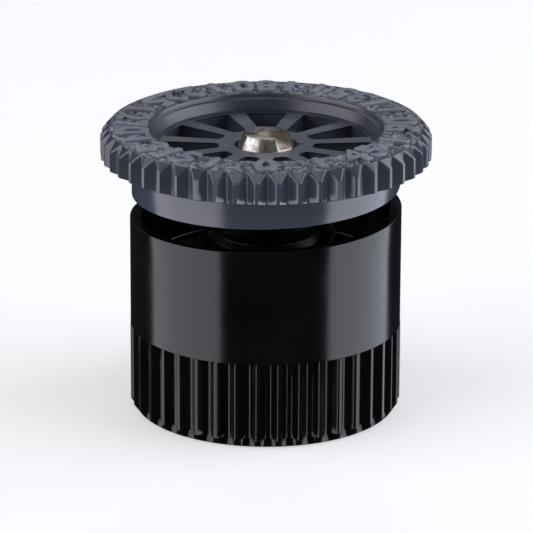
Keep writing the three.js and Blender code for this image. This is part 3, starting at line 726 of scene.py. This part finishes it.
@dataclass
class NozzleBody:
    """The black cup: ribbed skirt, smooth wall with a helical rim, floor and threaded barrel.

    Sizes are in millimetres. The outer radius and the heights of the rim come from the frame.
    """

    radius: float = field(default_factory=lambda: radius_of("nozzle_body"))
    rim_high: float = field(default_factory=lambda: corner("nozzle_body", True, 2))
    smooth_inset: float = 0.04
    wall: float = 0.93
    rib_count: int = 40
    rib_phase: float = math.radians(-84.0)
    rib_depth: float = 0.72
    rib_land: float = 0.085
    rib_top: float = 7.03
    foot_chamfer: tuple[float, float] = (0.46, 0.62)
    thread_major: float = 7.94
    thread_pitch: float = 0.907
    thread_depth: float = 0.49
    thread_turns: float = 5.0
    thread_start: float = 1.2
    barrel_wall: float = 0.75
    rib_wall: float = 0.75
    moat_roof: float = 9.2
    floor_bottom: float = 10.4
    floor_top: float = 11.6
    seat_hole: float = 5.9

    def sink(self, turn: Array) -> Array:
        """Depth of the grooves: depth times 1 less the square of the distance from the groove's middle."""
        share = np.mod((turn - self.rib_phase) * self.rib_count / TURN, 1.0)
        reach = np.abs(share - 0.5) / (0.5 - self.rib_land)
        return self.rib_depth * np.clip(1.0 - reach ** 2.2, 0.0, None)

    def shell(self) -> bpy.types.Object:
        """The cup itself: a section carried round, with grooves cut by share and a rim raised by share."""
        outer, smooth = self.radius, self.radius - self.smooth_inset
        inner = smooth - self.wall
        rim = self.rim_high - HELIX.pitch / 2
        inset, rise = self.foot_chamfer
        moat = outer - self.rib_depth - self.rib_wall
        corners = [
            # radius, height, fillet, share of groove, share of helix
            (outer - inset, 0.0, 0.08, 0.0, 0.0),
            (outer, rise, 0.1, 1.0, 0.0),
            (outer, self.rib_top - 0.05, 0.0, 1.0, 0.0),
            (outer, self.rib_top, 0.0, 0.93, 0.0),
            (smooth, self.rib_top + 0.02, 0.0, 0.0, 0.0),
            (smooth, rim - 2.0, 0.0, 0.0, 0.0),
            (smooth, rim, 0.07, 0.0, 1.0),
            (inner + 0.16, rim, 0.03, 0.0, 1.0),
            (inner, rim - 0.16, 0.03, 0.0, 1.0),
            (inner, rim - 2.0, 0.0, 0.0, 0.0),
            (inner, self.floor_top, 0.35, 0.0, 0.0),
            (self.seat_hole, self.floor_top, 0.12, 0.0, 0.0),
            (self.seat_hole, self.floor_bottom, 0.05, 0.0, 0.0),
            (self.thread_major + 0.3, self.floor_bottom, 0.0, 0.0, 0.0),
            (self.thread_major + 0.3, self.moat_roof, 0.0, 0.0, 0.0),
            (moat, self.moat_roof, 0.2, 0.0, 0.0),
            (moat, 0.0, 0.12, 0.0, 0.0),
        ]

        def shape(turn: Array, section: Array) -> tuple[Array, Array]:
            """Radius less the groove, height plus the rise of the rim."""
            radius = section[:, 0] - self.sink(turn) * section[:, 2]
            height = section[:, 1] + HELIX.rise(turn, False) * section[:, 3]
            return radius, height

        turn = angles(self.rib_count * 28, (HELIX.step - STEP_SLIVER, HELIX.step))
        return turned("nozzle_body_cup", corners, turn, shape, 2.5)

    def barrel(self) -> bpy.types.Object:
        """The threaded barrel: the bore's radius grows by the thread's depth along a helix."""
        minor = self.thread_major - self.thread_depth
        outer = self.thread_major + self.barrel_wall
        top = self.moat_roof + 0.4
        corners = [
            (minor + self.thread_depth, 0.0, 0.06, 0.0),
            (outer, 0.0, 0.12, 0.0),
            (outer, top, 0.0, 0.0),
            (minor, top, 0.0, 1.0),
            (minor, self.thread_depth, 0.0, 1.0),
        ]

        def shape(turn: Array, section: Array) -> tuple[Array, Array]:
            """A groove of flat root and sloping sides wherever the height meets the helix."""
            height = np.broadcast_to(section[:, 1][None, :], (len(turn), len(section)))
            climb = (height - self.thread_start) / self.thread_pitch
            phase = climb - turn / TURN
            away = np.abs(phase - np.round(phase))
            depth = np.clip((0.42 - away) / 0.3, 0.0, 1.0) * self.thread_depth
            live = np.clip(climb / 0.6, 0.0, 1.0) * np.clip((self.thread_turns - climb) / 0.6, 0.0, 1.0)
            return section[:, 0][None, :] + depth * live * section[:, 2], height

        return turned("nozzle_body_barrel", corners, angles(240), shape, 0.07)

    def build(self, finishes: Finishes) -> None:
        """Makes and dresses the body's two pieces."""
        for piece in (self.shell(), self.barrel()):
            settle(piece, finishes.body, Body.BODY, Slot.BODY_PLASTIC, "nozzle_body")


@dataclass
class ArcSeat:
    """The pressed-in seat: a thin lip with a helical edge, a flange, a guide tube and four vanes."""

    radius: float = 5.6
    wall: float = 0.4
    lip_high: float = field(default_factory=lambda: corner("arc_seat", True, 2))
    bottom: float = field(default_factory=lambda: corner("arc_seat", False, 2))
    flange_radius: float = field(default_factory=lambda: radius_of("arc_seat"))
    flange: float = 0.5
    tube: tuple[float, float] = (3.0, 3.85)
    tube_top: float = 11.0
    vanes: int = 4
    vane_width: float = 0.8

    def build(self, finishes: Finishes) -> None:
        """Makes the lip and flange, the tube and the vanes."""
        lip = self.lip_high - HELIX.pitch / 2
        inner = self.radius - self.wall
        corners = [
            (inner, self.bottom, 0.08, 0.0),
            (self.flange_radius, self.bottom, 0.1, 0.0),
            (self.flange_radius, self.bottom + self.flange, 0.1, 0.0),
            (self.radius, self.bottom + self.flange, 0.1, 0.0),
            (self.radius, lip - 1.5, 0.0, 0.0),
            (self.radius, lip, 0.06, 1.0),
            (inner + 0.27, lip, 0.04, 1.0),
            (inner, lip - 0.6, 0.1, 1.0),
            (inner, lip - 1.5, 0.0, 0.0),
        ]

        def shape(turn: Array, section: Array) -> tuple[Array, Array]:
            """Height plus the rise of the lip."""
            radius = np.broadcast_to(section[:, 0][None, :], (len(turn), len(section)))
            return radius, section[:, 1] + HELIX.rise(turn, False) * section[:, 2]

        turn = angles(288, (HELIX.step - STEP_SLIVER, HELIX.step))
        edge = turned("arc_seat_lip", corners, turn, shape, 2.0)
        low, high = self.bottom, self.tube_top
        near, far = self.tube
        ring = [(near, low, 0.1), (far, low, 0.1), (far, high, 0.1), (near, high, 0.1)]
        tube = turned("arc_seat_tube", ring, angles(144))
        spread = [TURN * (i + 0.5) / self.vanes for i in range(self.vanes)]
        reach = (far - 0.3, self.radius - self.wall / 2)
        shapes = [polar_block(*reach, self.vane_width, low + 0.05, high - 0.1, a) for a in spread]
        vanes = blocks("arc_seat_vanes", shapes, 0.08)
        for piece in (edge, tube, vanes):
            settle(piece, finishes.inner, Body.BODY, Slot.INNER_PLASTIC, "arc_seat")


@dataclass
class DeflectorCore:
    """The black core under the collar: neck, waist, the helical throat that turns the water, and stem."""

    top: float = 19.6
    radius: float = field(default_factory=lambda: radius_of("deflector_core"))
    bottom: float = field(default_factory=lambda: corner("deflector_core", False, 2))
    edge: float = 18.41
    throat: float = 15.95
    throat_radius: float = 5.2
    neck: float = 4.35
    neck_low: float = 13.0
    neck_high: float = 14.2
    waist: float = 3.9
    waist_low: float = 14.6
    stem: float = 2.75
    bore: float = 1.55
    clip_low: float = 7.75
    clip_high: float = 8.55
    clip_depth: float = 0.45
    lug_reach: tuple[float, float] = (5.2, 7.9)
    lug_width: float = 1.5
    lug_rise: tuple[float, float] = (-0.2, 0.8)
    lug_windows: tuple[int, ...] = (1, 5, 8)
    window_count: int = 11

    def build(self, finishes: Finishes) -> None:
        """Makes the core as one carried section whose cone follows the moving helix."""
        corners = [
            (self.bore, self.bottom, 0.1, 0.0),
            (self.stem, self.bottom, 0.15, 0.0),
            (self.stem, self.clip_low, 0.0, 0.0),
            (self.stem - self.clip_depth, self.clip_low, 0.0, 0.0),
            (self.stem - self.clip_depth, self.clip_high, 0.0, 0.0),
            (self.stem, self.clip_high, 0.0, 0.0),
            (self.stem, self.neck_low, 0.1, 0.0),
            (self.neck, self.neck_low, 0.12, 0.0),
            (self.neck, self.neck_high, 0.05, 0.0),
            (self.waist, self.waist_low, 0.1, 0.0),
            (self.waist, self.waist_low + 0.3, 0.05, 0.0),
            (self.waist + 0.1, self.throat - 0.55, 0.3, 1.0),
            (self.throat_radius, self.throat, 0.8, 1.0),
            (self.radius - 0.25, self.edge - 0.05, 0.15, 1.0),
            (self.radius, self.edge + 0.15, 0.1, 1.0),
            (self.radius, self.top, 0.1, 0.0),
            (self.bore, self.top, 0.05, 0.0),
        ]

        def shape(turn: Array, section: Array) -> tuple[Array, Array]:
            """Height plus the rise of the throat."""
            radius = np.broadcast_to(section[:, 0][None, :], (len(turn), len(section)))
            return radius, section[:, 1] + HELIX.rise(turn, True) * section[:, 2]

        step = HELIX.step + HELIX.lead
        core = turned("deflector_core_cone", corners, angles(288, (step - STEP_SLIVER, step)), shape, 1.0)
        low, high = (self.top + rise for rise in self.lug_rise)
        spots = [FRONT + TURN * (i + 0.5) / self.window_count for i in self.lug_windows]
        shapes = [polar_block(*self.lug_reach, self.lug_width, low, high, a) for a in spots]
        lugs = blocks("deflector_core_lugs", shapes, 0.12)
        for piece in (core, lugs):
            settle(piece, finishes.inner, Body.COLLAR, Slot.INNER_PLASTIC, "deflector_core")


@dataclass
class ArcCollar:
    """The grey collar: toothed flange, gritty dial ring, bowl, spoked wheel and helical skirt."""

    radius: float = field(default_factory=lambda: radius_of("arc_collar"))
    mark_top: float = field(default_factory=lambda: corner("arc_collar", True, 2))
    skirt_low: float = field(default_factory=lambda: corner("arc_collar", False, 2))
    mark_height: float = 0.25
    teeth: int = 50
    tooth_depth: float = 0.72
    tooth_land: float = 0.085
    tooth_phase: float = math.radians(-85.93)
    flange_bottom: float = 21.12
    chamfer_bottom: float = 22.75
    face_radius: float = 12.66
    bowl: float = 9.3
    wheel_radius: float = 8.6
    wheel_top: float = 22.0
    wheel_bottom: float = 19.9
    hub: float = 3.7
    counterbore: float = 2.5
    screw_bore: float = 1.5
    pocket_floor: float = 20.2
    spokes: int = 11
    spoke_widths: tuple[float, float] = (0.8, 1.25)
    window_corner: float = 0.6
    notch: float = 0.6
    skirt: float = 10.8
    skirt_wall: float = 0.6
    grain_height: float = 0.062
    fine_grain: tuple[float, float, int] = (0.95, 0.8, 7)
    coarse_grain: tuple[float, float, int] = (2.6, 2.2, 8)
    coarse_share: float = 0.5
    trim_softness: float = 0.03
    edge: float = 0.1
    underside_slope: float = 0.34
    underside_fade: float = 0.3
    # Grit and colour level of the bowl's wall. The low level is painted shade in the recess.
    bowl_finish_and_shade: tuple[float, float] = (0.5, 0.12)
    wheel_finish: tuple[float, float] = (0.45, 0.5)

    @property
    def top(self) -> float:
        """Height of the dial ring's face."""
        return self.mark_top - self.mark_height

    def sink(self, turn: Array) -> Array:
        """Depth of the tooth gaps: depth times 1 less the distance from the middle to the power 1.45."""
        share = np.mod((turn - self.tooth_phase) * self.teeth / TURN, 1.0)
        reach = np.abs(share - 0.5) / (0.5 - self.tooth_land)
        return self.tooth_depth * np.clip(1.0 - reach ** 1.45, 0.0, None)

    def rim(self) -> bpy.types.Object:
        """The collar without its wheel.

        The teeth come by share, a chamfer cone trims them, the smaller of tooth and cone radius
        being blended over a short distance, and noise lifts the dial ring.
        """
        low = self.skirt_low + HELIX.pitch / 2
        inner = self.skirt - self.skirt_wall
        root_low = self.flange_bottom - self.tooth_depth * self.underside_slope
        face, edge, top = self.face_radius, self.edge, self.top
        chamfer = np.linspace(self.chamfer_bottom - 0.1, top, 13)
        ring_in, ring_out = self.bowl + 0.12, face - 0.02
        ring = np.linspace(ring_out, ring_in, 38)
        corners = [
            # radius, height, fillet, share of tooth, share of helix, share of grit
            (inner, low, 0.06, 0, 1, 0),
            (self.skirt, low, 0.06, 0, 1, 0),
            (self.skirt, low + 1.2, 0, 0, 0, 0),
            (self.skirt, root_low, 0.08, 0, 0, 0),
            (self.radius - self.tooth_depth - 0.1, root_low, 0, 0, 0, 0),
            (self.radius, self.flange_bottom, edge, 1, 0, 0),
            *[(self.radius, z, 0, 1, 0, 0) for z in chamfer],
            *[(r, top, 0, 0, 0, 1) for r in ring],
            (self.bowl, top - 0.02, 0, 0, 0, 0.3),
            (self.bowl - 0.06, top - 0.12, 0, 0, 0, 0),
            (self.bowl - 0.1, top - 0.34, 0.06, 0, 0, 0),
            (self.bowl - 0.3, top - 0.42, 0.08, 0, 0, 0),
            (self.wheel_radius + 0.06, self.wheel_top + 0.25, 0.3, 0, 0, 0),
            (self.wheel_radius - 0.05, self.wheel_bottom, 0, 0, 0, 0),
            (inner, self.wheel_bottom, 0.2, 0, 0, 0),
            (inner, low + 1.2, 0, 0, 0, 0),
        ]
        slope = (self.radius - face) / (top - self.chamfer_bottom)
        section = subdivided(rounded(corners, 4), 1.3)
        step = HELIX.step + HELIX.lead
        turn = angles(self.teeth * 20, (step - STEP_SLIVER, step))[:, None]
        radius = section[:, 0] - self.sink(turn) * section[:, 2]
        cone = face + (top - section[:, 1]) * slope
        overlap = np.sqrt((radius - cone) ** 2 + self.trim_softness ** 2)
        trimmed = 0.5 * (radius + cone - overlap)
        radius = np.where(section[:, 2] > 0, trimmed, radius)
        height = section[:, 1] + HELIX.rise(turn, True) * section[:, 3]
        near_foot = (self.flange_bottom - section[:, 1]) / self.underside_fade + 1.0
        near_foot = np.clip(near_foot, 0.0, 1.0)
        height = height - self.sink(turn) * section[:, 2] * self.underside_slope * near_foot
        fine = value_noise(len(turn), len(section), *self.fine_grain)
        coarse = value_noise(len(turn), len(section), *self.coarse_grain)
        grain = fine + self.coarse_share * coarse
        fade = np.clip((section[:, 0] - ring_in) / 0.15, 0, 1)
        fade = fade * np.clip((ring_out - section[:, 0]) / 0.15, 0, 1)
        pitted = np.clip(grain, -2.2, 1.6) * section[:, 4] * fade
        height = height + pitted * self.grain_height - 0.05 * section[:, 4] * fade
        points = np.stack([radius * np.cos(turn), radius * np.sin(turn), height], axis=-1)
        faces = grid_faces(len(turn), len(section), True, True)
        piece = mesh_object("arc_collar_rim", points.reshape(-1, 3), faces)
        # The bowl's wall, in the recess under the dial ring, gets a low colour level: painted shade.
        wall = (section[:, 0] < self.bowl) & (section[:, 0] > self.wheel_radius - 0.02)
        wall &= section[:, 1] > self.wheel_top
        wall_grit, wall_shade = self.bowl_finish_and_shade
        grit = np.where(wall, wall_grit, section[:, 4] * fade)
        hold_attribute(piece, "grit", np.broadcast_to(grit, height.shape))
        # On the dial ring the colour level follows the grain's height: painted shade in the pits, a painted
        # highlight on the peaks.
        hold_attribute(piece, "tone_and_shade", np.where(wall, wall_shade, 0.5 + 0.24 * pitted))
        return piece

    def window(self, index: int) -> Array:
        """One window's outline, clockwise: an outer arc, two radial sides and a rounded inner end."""
        middle = FRONT + TURN * (index + 0.5) / self.spokes
        half = TURN / self.spokes / 2
        inner, outer = self.hub, self.wheel_radius
        side_in = half - math.asin(self.spoke_widths[0] / 2 / inner)
        side_out = half - math.asin(self.spoke_widths[1] / 2 / outer)
        bend, tight = self.window_corner, 0.25
        shrink = bend / inner

        def at(radius: float, turn: float) -> Array:
            """A point by radius and angle from the window's middle."""
            return np.array([radius * math.cos(middle + turn), radius * math.sin(middle + turn)])

        def side(radius: float) -> float:
            """The side's angle at a radius, blended between its two ends."""
            return side_in + (side_out - side_in) * (radius - inner) / (outer - inner)

        def curve(first: Array, handle: Array, last: Array, steps: int) -> Array:
            """A quadratic curve through two ends and one handle."""
            t = np.linspace(0.0, 1.0, steps + 1)[:, None]
            return (1 - t) ** 2 * first + 2 * t * (1 - t) * handle + t ** 2 * last

        sweep = np.linspace(side_out - tight / outer, tight / outer - side_out, 13)
        return np.vstack([
            curve(at(inner + bend, -side(inner + bend)), at(inner, -side_in), at(inner, shrink - side_in), 6),
            curve(at(inner, side_in - shrink), at(inner, side_in), at(inner + bend, side(inner + bend)), 6),
            curve(at(outer - tight, side(outer - tight)), at(outer, side_out), at(outer, sweep[0]), 4),
            [at(outer, turn) for turn in sweep[1:-1]],
            curve(at(outer, sweep[-1]), at(outer, -side_out), at(outer - tight, -side(outer - tight)), 4),
        ])[::-1]

    def wheel(self) -> bpy.types.Object:
        """Hub and spokes: a plate with eleven windows and the screw's hole, with its pointer notch."""
        t = np.arange(160)[:, None] * TURN / 160
        disc = np.hstack([np.cos(t), np.sin(t)])
        notch = np.clip(1.0 - np.abs(np.arctan2(disc[:, 1], disc[:, 0])) / 0.11, 0.0, 1.0)[:, None]
        hole = disc * (self.counterbore + notch * self.notch)
        windows = [self.window(i) for i in range(self.spokes)]
        outlines = [disc * (self.wheel_radius + 0.12), hole[::-1], *windows]
        return plate("arc_collar_wheel", outlines, self.wheel_bottom, self.wheel_top, self.edge)

    def pocket(self) -> bpy.types.Object:
        """The floor under the screw's head."""
        low, high = self.wheel_bottom, self.pocket_floor
        ring = [(self.screw_bore, low, 0), (3.0, low, 0), (3.0, high, 0), (self.screw_bore, high, 0.05)]
        return turned("arc_collar_pocket", ring, angles(96))

    def build(self, finishes: Finishes) -> None:
        """Makes the rim, the wheel and the pocket."""
        for piece in (self.rim(), self.wheel(), self.pocket()):
            for name, value in zip(("grit", "tone_and_shade"), self.wheel_finish):
                if name not in piece.data.attributes:
                    hold_attribute(piece, name, np.full(len(piece.data.vertices), value))
            settle(piece, finishes.collar, Body.COLLAR, Slot.COLLAR_PLASTIC, "arc_collar")


def merged(piece: bpy.types.Object, distance_mm: float = 0.001) -> bpy.types.Object:
    """Joins a piece's doubled vertices, turns its faces outwards and keeps its level faces flat."""
    work = bmesh.new()
    work.from_mesh(piece.data)
    bmesh.ops.remove_doubles(work, verts=work.verts, dist=distance_mm * MM)
    bmesh.ops.recalc_face_normals(work, faces=work.faces)
    for face in work.faces:
        face.smooth = abs(face.normal.z) < 0.999
    work.to_mesh(piece.data)
    work.free()
    return piece


@dataclass
class DialNumerals:
    """Raised degree figures round the dial ring, with a short bar between each two."""

    base: float
    height: float
    middle: float = 10.98
    size: float = 3.6
    count: int = 8
    sink: float = 0.12
    bevel: float = 0.07
    bar_reach: tuple[float, float] = (9.8, 12.2)
    bar_width: float = 0.55
    grit: float = 0.6
    tone_and_shade: float = 0.86

    def figure(self, text: str, turn: float) -> tuple[Array, list[list[int]]]:
        """One number as points and faces.

        The flat letter's x becomes an angle, x / middle radius, and its y a distance from the
        axis, so that its foot faces outwards.

        Args:
            text: the digits.
            turn: the number's angle.

        Returns:
            Points in millimetres and faces.
        """
        words = bpy.data.curves.new("figure", "FONT")
        words.body = text
        words.size = self.size
        words.align_x = "CENTER"
        words.align_y = "CENTER"
        words.space_character = 1.06
        words.offset = 0.05
        words.extrude = (self.height + self.sink) / 2 - self.bevel
        words.bevel_depth = self.bevel
        words.bevel_resolution = 2
        words.resolution_u = 6
        maker = bpy.data.objects.new("figure_maker", words)
        bpy.context.scene.collection.objects.link(maker)
        mesh = bpy.data.meshes.new_from_object(maker.evaluated_get(bpy.context.evaluated_depsgraph_get()))
        bpy.data.objects.remove(maker)
        flat = np.zeros(len(mesh.vertices) * 3, np.float32)
        mesh.vertices.foreach_get("co", flat)
        flat = flat.reshape(-1, 3).astype(float)
        faces = [list(polygon.vertices) for polygon in mesh.polygons]
        bpy.data.meshes.remove(mesh)
        angle = turn + flat[:, 0] / self.middle
        radius = self.middle - flat[:, 1]
        height = self.base - self.sink + flat[:, 2] - flat[:, 2].min()
        return np.stack([radius * np.cos(angle), radius * np.sin(angle), height], axis=-1), faces

    def build(self, finishes: Finishes) -> None:
        """Makes all the figures as one piece and the bars as another."""
        points, faces, first = [], [], 0
        for i in range(self.count):
            turn = FRONT + TURN * i / self.count
            spots, parts = self.figure(str(i * 360 // self.count), turn)
            points.append(spots)
            faces += [[v + first for v in part] for part in parts]
            first += len(spots)
        figures = mesh_object("arc_collar_figures", np.concatenate(points), np.zeros((0, 4), int), faces)
        merged(figures)
        between = [FRONT + TURN * (i + 0.5) / self.count for i in range(self.count)]
        low, high = self.base - self.sink, self.base + self.height
        shapes = [polar_block(*self.bar_reach, self.bar_width, low, high, a) for a in between]
        bars = blocks("arc_collar_bars", shapes, 0.08)
        for piece in (figures, bars):
            hold_attribute(piece, "grit", np.full(len(piece.data.vertices), self.grit))
            hold_attribute(piece, "tone_and_shade", np.full(len(piece.data.vertices), self.tone_and_shade))
            settle(piece, finishes.collar, Body.COLLAR, Slot.COLLAR_PLASTIC, "arc_collar")


@dataclass
class RadiusScrew:
    """The slotted screw in the middle, its seal and its clip."""

    top: float = field(default_factory=lambda: corner("radius_screw", True, 2))
    bottom: float = field(default_factory=lambda: corner("radius_screw", False, 2))
    head: float = 1.8
    base_radius: float = field(default_factory=lambda: radius_of("radius_screw"))
    base: float = 21.8
    shoulder: float = 21.1
    shank: float = 1.25
    thread: float = 1.5
    clip: float = 7.0
    slot_width: float = 1.4
    slot_depth: float = 0.9
    slot_angle: float = math.radians(-42.0)
    seal: float = 0.3

    def screw(self) -> bpy.types.Object:
        """The turned blank with its slot cut across the head."""
        neck = self.shank - 0.35
        corners = [
            (0.02, self.bottom, 0),
            (self.thread - 0.4, self.bottom, 0.05),
            (self.thread, self.bottom + 0.4, 0.05),
            (self.thread, self.clip - 0.3, 0.05),
            (neck, self.clip - 0.3, 0),
            (neck, self.clip + 0.45, 0),
            (self.shank, self.clip + 0.45, 0),
            (self.shank, self.shoulder, 0.05),
            (self.base_radius, self.shoulder, 0.08),
            (self.base_radius, self.base - 0.06, 0.05),
            (self.base_radius - 0.06, self.base + 0.05, 0.05),
            (self.head, self.top, 0.07),
            (0.02, self.top, 0),
        ]
        blank = turned("radius_screw_turned", corners, angles(128))
        floor = self.top - self.slot_depth
        points, faces = polar_block(-4, 4, self.slot_width, floor, self.top + 1, self.slot_angle)
        return carved(blank, [mesh_object("slot_tool", points, faces)])

    def build(self, finishes: Finishes) -> None:
        """Makes the screw, the seal under its head and the clip at its tail."""
        settle(self.screw(), finishes.steel, Body.SCREW, Slot.STEEL, "radius_screw")
        low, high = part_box("screw_o_ring")
        middle, mid_height = radius_of("screw_o_ring") - self.seal, (low.z + high.z) / 2 / MM
        t = np.arange(24) * TURN / 24
        rows = [(middle + self.seal * math.cos(a), mid_height + self.seal * math.sin(a), 0) for a in t]
        seal = turned("screw_o_ring_seal", rows, angles(96))
        settle(seal, finishes.rubber, Body.SCREW, Slot.SEAL_RUBBER, "screw_o_ring")
        spring_clip("screw_clip", Body.SCREW, self.shank - 0.2, finishes)


def spring_clip(node: str, body: Body, inner: float, finishes: Finishes) -> None:
    """An open spring clip with rounded edges, sized by its CAD node's box."""
    low, high = corner(node, False, 2), corner(node, True, 2)
    outer, edge, mouth = radius_of(node), 0.06, math.radians(25.0)
    rows = [(inner, low, edge), (outer, low, edge), (outer, high, edge), (inner, high, edge)]
    piece = swept_arc(node + "_spring", rows, mouth, TURN - mouth, 72)
    settle(piece, finishes.steel, body, Slot.STEEL, node)


@dataclass
class Throttle:
    """The keyed plug that the screw lifts, and the guide that stops it turning."""

    guide_radius: float = field(default_factory=lambda: radius_of("throttle_guide"))
    guide_low: float = field(default_factory=lambda: corner("throttle_guide", False, 2))
    guide_high: float = field(default_factory=lambda: corner("throttle_guide", True, 2))
    plate: tuple[float, float] = (8.7, 9.3)
    bore: float = 3.0
    tongue_inner: float = 4.1
    prong: float = 0.8
    width: float = 1.6
    plug_radius: float = field(default_factory=lambda: radius_of("throttle_plug"))
    plug_low: float = field(default_factory=lambda: corner("throttle_plug", False, 2))
    plug_high: float = field(default_factory=lambda: corner("throttle_plug", True, 2))
    plug_top: float = 5.2
    plug_thickness: float = 1.0
    plug_rim: float = 0.6
    hub: float = 2.6
    play: float = 0.25
    thread_bore: float = 1.75

    def build(self, finishes: Finishes) -> None:
        """Makes the guide's ring and grips, and the plug with its two keyways."""
        low, high = self.plate
        ring = [(self.bore, low, 0.08), (self.guide_radius, low, 0.08)]
        ring += [(self.guide_radius, high, 0.08), (self.bore, high, 0.08)]
        plate = turned("throttle_guide_plate", ring, angles(120))
        outer, inner = self.guide_radius - 0.02, self.guide_radius - self.prong
        grips = []
        for angle in (0.0, math.pi):
            grips.append(polar_block(self.tongue_inner, outer, self.width, low + 0.1, self.guide_high, angle))
            across = angle + math.pi / 2
            grips.append(polar_block(inner, outer, self.width, self.guide_low, high - 0.1, across))
        grip = blocks("throttle_guide_grips", grips, 0.08)
        for piece in (plate, grip):
            settle(piece, finishes.acetal, Body.GUIDE, Slot.ACETAL, "throttle_guide")
        under = self.plug_top - self.plug_thickness
        rim = self.plug_radius - self.plug_rim
        corners = [
            (self.thread_bore, self.plug_low, 0.06),
            (self.hub, self.plug_low, 0.12),
            (self.hub, under, 0.1),
            (self.plug_radius - 0.3, under, 0.08),
            (self.plug_radius, under + 0.3, 0.08),
            (self.plug_radius, self.plug_high, 0.1),
            (rim, self.plug_high, 0.1),
            (rim, self.plug_top, 0.15),
            (self.thread_bore, self.plug_top, 0.06),
        ]
        plug = turned("throttle_plug_cup", corners, angles(144))
        tools = []
        for k, angle in enumerate((math.pi / 2, -math.pi / 2)):
            reach = (inner - self.play, self.guide_radius + self.play)
            wide = self.width + 2 * self.play
            points, faces = polar_block(*reach, wide, under - 1, self.plug_high + 1, angle)
            points[:, 2] = np.clip(points[:, 2], under - 1, self.plug_top + 1)
            tools.append(mesh_object(f"keyway_tool_{k}", points, faces))
        settle(carved(plug, tools), finishes.acetal, Body.PLUG, Slot.ACETAL, "throttle_plug")


# ---------------------------------------------------------------- studio


@dataclass(frozen=True)
class SoftBox:
    """One rectangular studio light.

    Args:
        name: the light's name.
        turn_deg: direction from the nozzle, in degrees from -Y towards +X.
        tilt_deg: height above the horizon, in degrees.
        distance: metres from the nozzle.
        size: width and height in metres.
        radiance: brightness of its face.
        colour: sRGB colour.
    """

    name: str
    turn_deg: float
    tilt_deg: float
    distance: float
    size: tuple[float, float]
    radiance: float
    colour: str = "#ffffff"

    def build(self, aim: Vector) -> None:
        """Makes the light. Its power is pi times radiance times area."""
        turn, tilt = math.radians(self.turn_deg), math.radians(self.tilt_deg)
        away = Vector((math.sin(turn) * math.cos(tilt), -math.cos(turn) * math.cos(tilt), math.sin(tilt)))
        data = bpy.data.lights.new(self.name, "AREA")
        data.shape = "RECTANGLE"
        data.size, data.size_y = self.size
        data.energy = math.pi * self.radiance * self.size[0] * self.size[1]
        data.color = linear(self.colour)[:3]
        lamp = bpy.data.objects.new(self.name, data)
        lamp.location = aim + away * self.distance
        lamp.rotation_mode = "QUATERNION"
        lamp.rotation_quaternion = away.to_track_quat("Z", "Y")
        bpy.context.scene.collection.objects.link(lamp)


@dataclass(frozen=True)
class Studio:
    """Pale floor, soft lights and the camera."""

    floor_size: float = 6.0
    floor_height: float = -0.02
    floor_colour: str = "#f4f4f4"
    floor_glow: float = 0.45
    world_colour: str = "#ffffff"
    world_strength: float = 0.02
    aim_height: float = 10.0
    distance: float = 334.6
    pitch_deg: float = 19.23
    roll: float = 0.0043
    lens: float = 278.5
    shift: tuple[float, float] = (0.00195, 0.034)

    def floor(self) -> None:
        """A plain pale floor just under the nozzle. It gives soft light and no mirror image."""
        half = self.floor_size / 2 / MM
        corners = ((-half, -half), (half, -half), (half, half), (-half, half))
        points = np.array([(x, y, self.floor_height) for x, y in corners])
        piece = mesh_object("studio_floor", points, np.array([[0, 1, 2, 3]]))
        graph = Graph("acrylic_opal_lit")
        graph.set(Base_Color=linear(self.floor_colour), Roughness=0.9)
        graph.set(Emission_Color=linear(self.floor_colour), Emission_Strength=self.floor_glow)
        piece.data.materials.append(graph.material)
        piece.visible_glossy = False

    def lights(self) -> None:
        """Two tall side boxes for the bands on the walls, an overhead one and a back one."""
        aim = Vector((0.0, 0.0, self.aim_height * MM))
        for box in (
            SoftBox("left_box", -74.0, 2.0, 0.42, (0.62, 0.75), 1.95, "#f6f4ff"),
            SoftBox("right_box", 90.0, 2.0, 0.42, (0.61, 0.75), 2.5, "#ecf2ff"),
            SoftBox("top_box", 0.0, 80.0, 0.6, (0.6, 0.5), 1.0),
            SoftBox("back_box", 180.0, 38.0, 0.8, (0.9, 0.3), 1.0),
        ):
            box.build(aim)
        world = bpy.data.worlds.new("soft_room")
        world.use_nodes = True
        background = world.node_tree.nodes["Background"]
        background.inputs["Color"].default_value = linear(self.world_colour)
        background.inputs["Strength"].default_value = self.world_strength
        bpy.context.scene.world = world

    def camera(self) -> None:
        """A long lens from the front, looking down a little, with the small shift of the framing."""
        pitch = math.radians(self.pitch_deg)
        data = bpy.data.cameras.new("camera")
        data.lens = self.lens
        data.sensor_width = 36.0
        data.shift_x, data.shift_y = self.shift
        data.clip_start, data.clip_end = 0.01, 20.0
        view = bpy.data.objects.new("camera", data)
        away = Vector((0.0, -math.cos(pitch), math.sin(pitch))) * self.distance * MM
        turn = Matrix.Rotation(math.pi / 2 - pitch, 4, "X") @ Matrix.Rotation(self.roll, 4, "Z")
        view.matrix_world = Matrix.Translation(Vector((0, 0, self.aim_height * MM)) + away) @ turn
        bpy.context.scene.collection.objects.link(view)
        bpy.context.scene.camera = view

    def build(self) -> None:
        """Sets the whole stage."""
        self.floor()
        self.lights()
        self.camera()
        bpy.context.scene.view_settings.view_transform = "Standard"


def main() -> None:
    """Builds every piece of the nozzle in order, then the studio, and notes the sizes."""
    logging.basicConfig(level=logging.INFO, format="%(name)s: %(message)s")
    Studio().build()
    finishes = Finishes.make()
    NozzleBody().build(finishes)
    ArcSeat().build(finishes)
    Throttle().build(finishes)
    DeflectorCore().build(finishes)
    spring_clip("stem_clip", Body.COLLAR, inner=2.45, finishes=finishes)
    collar = ArcCollar()
    collar.build(finishes)
    DialNumerals(base=collar.top, height=collar.mark_height).build(finishes)
    RadiusScrew().build(finishes)


if __name__ == "__main__":
    main()
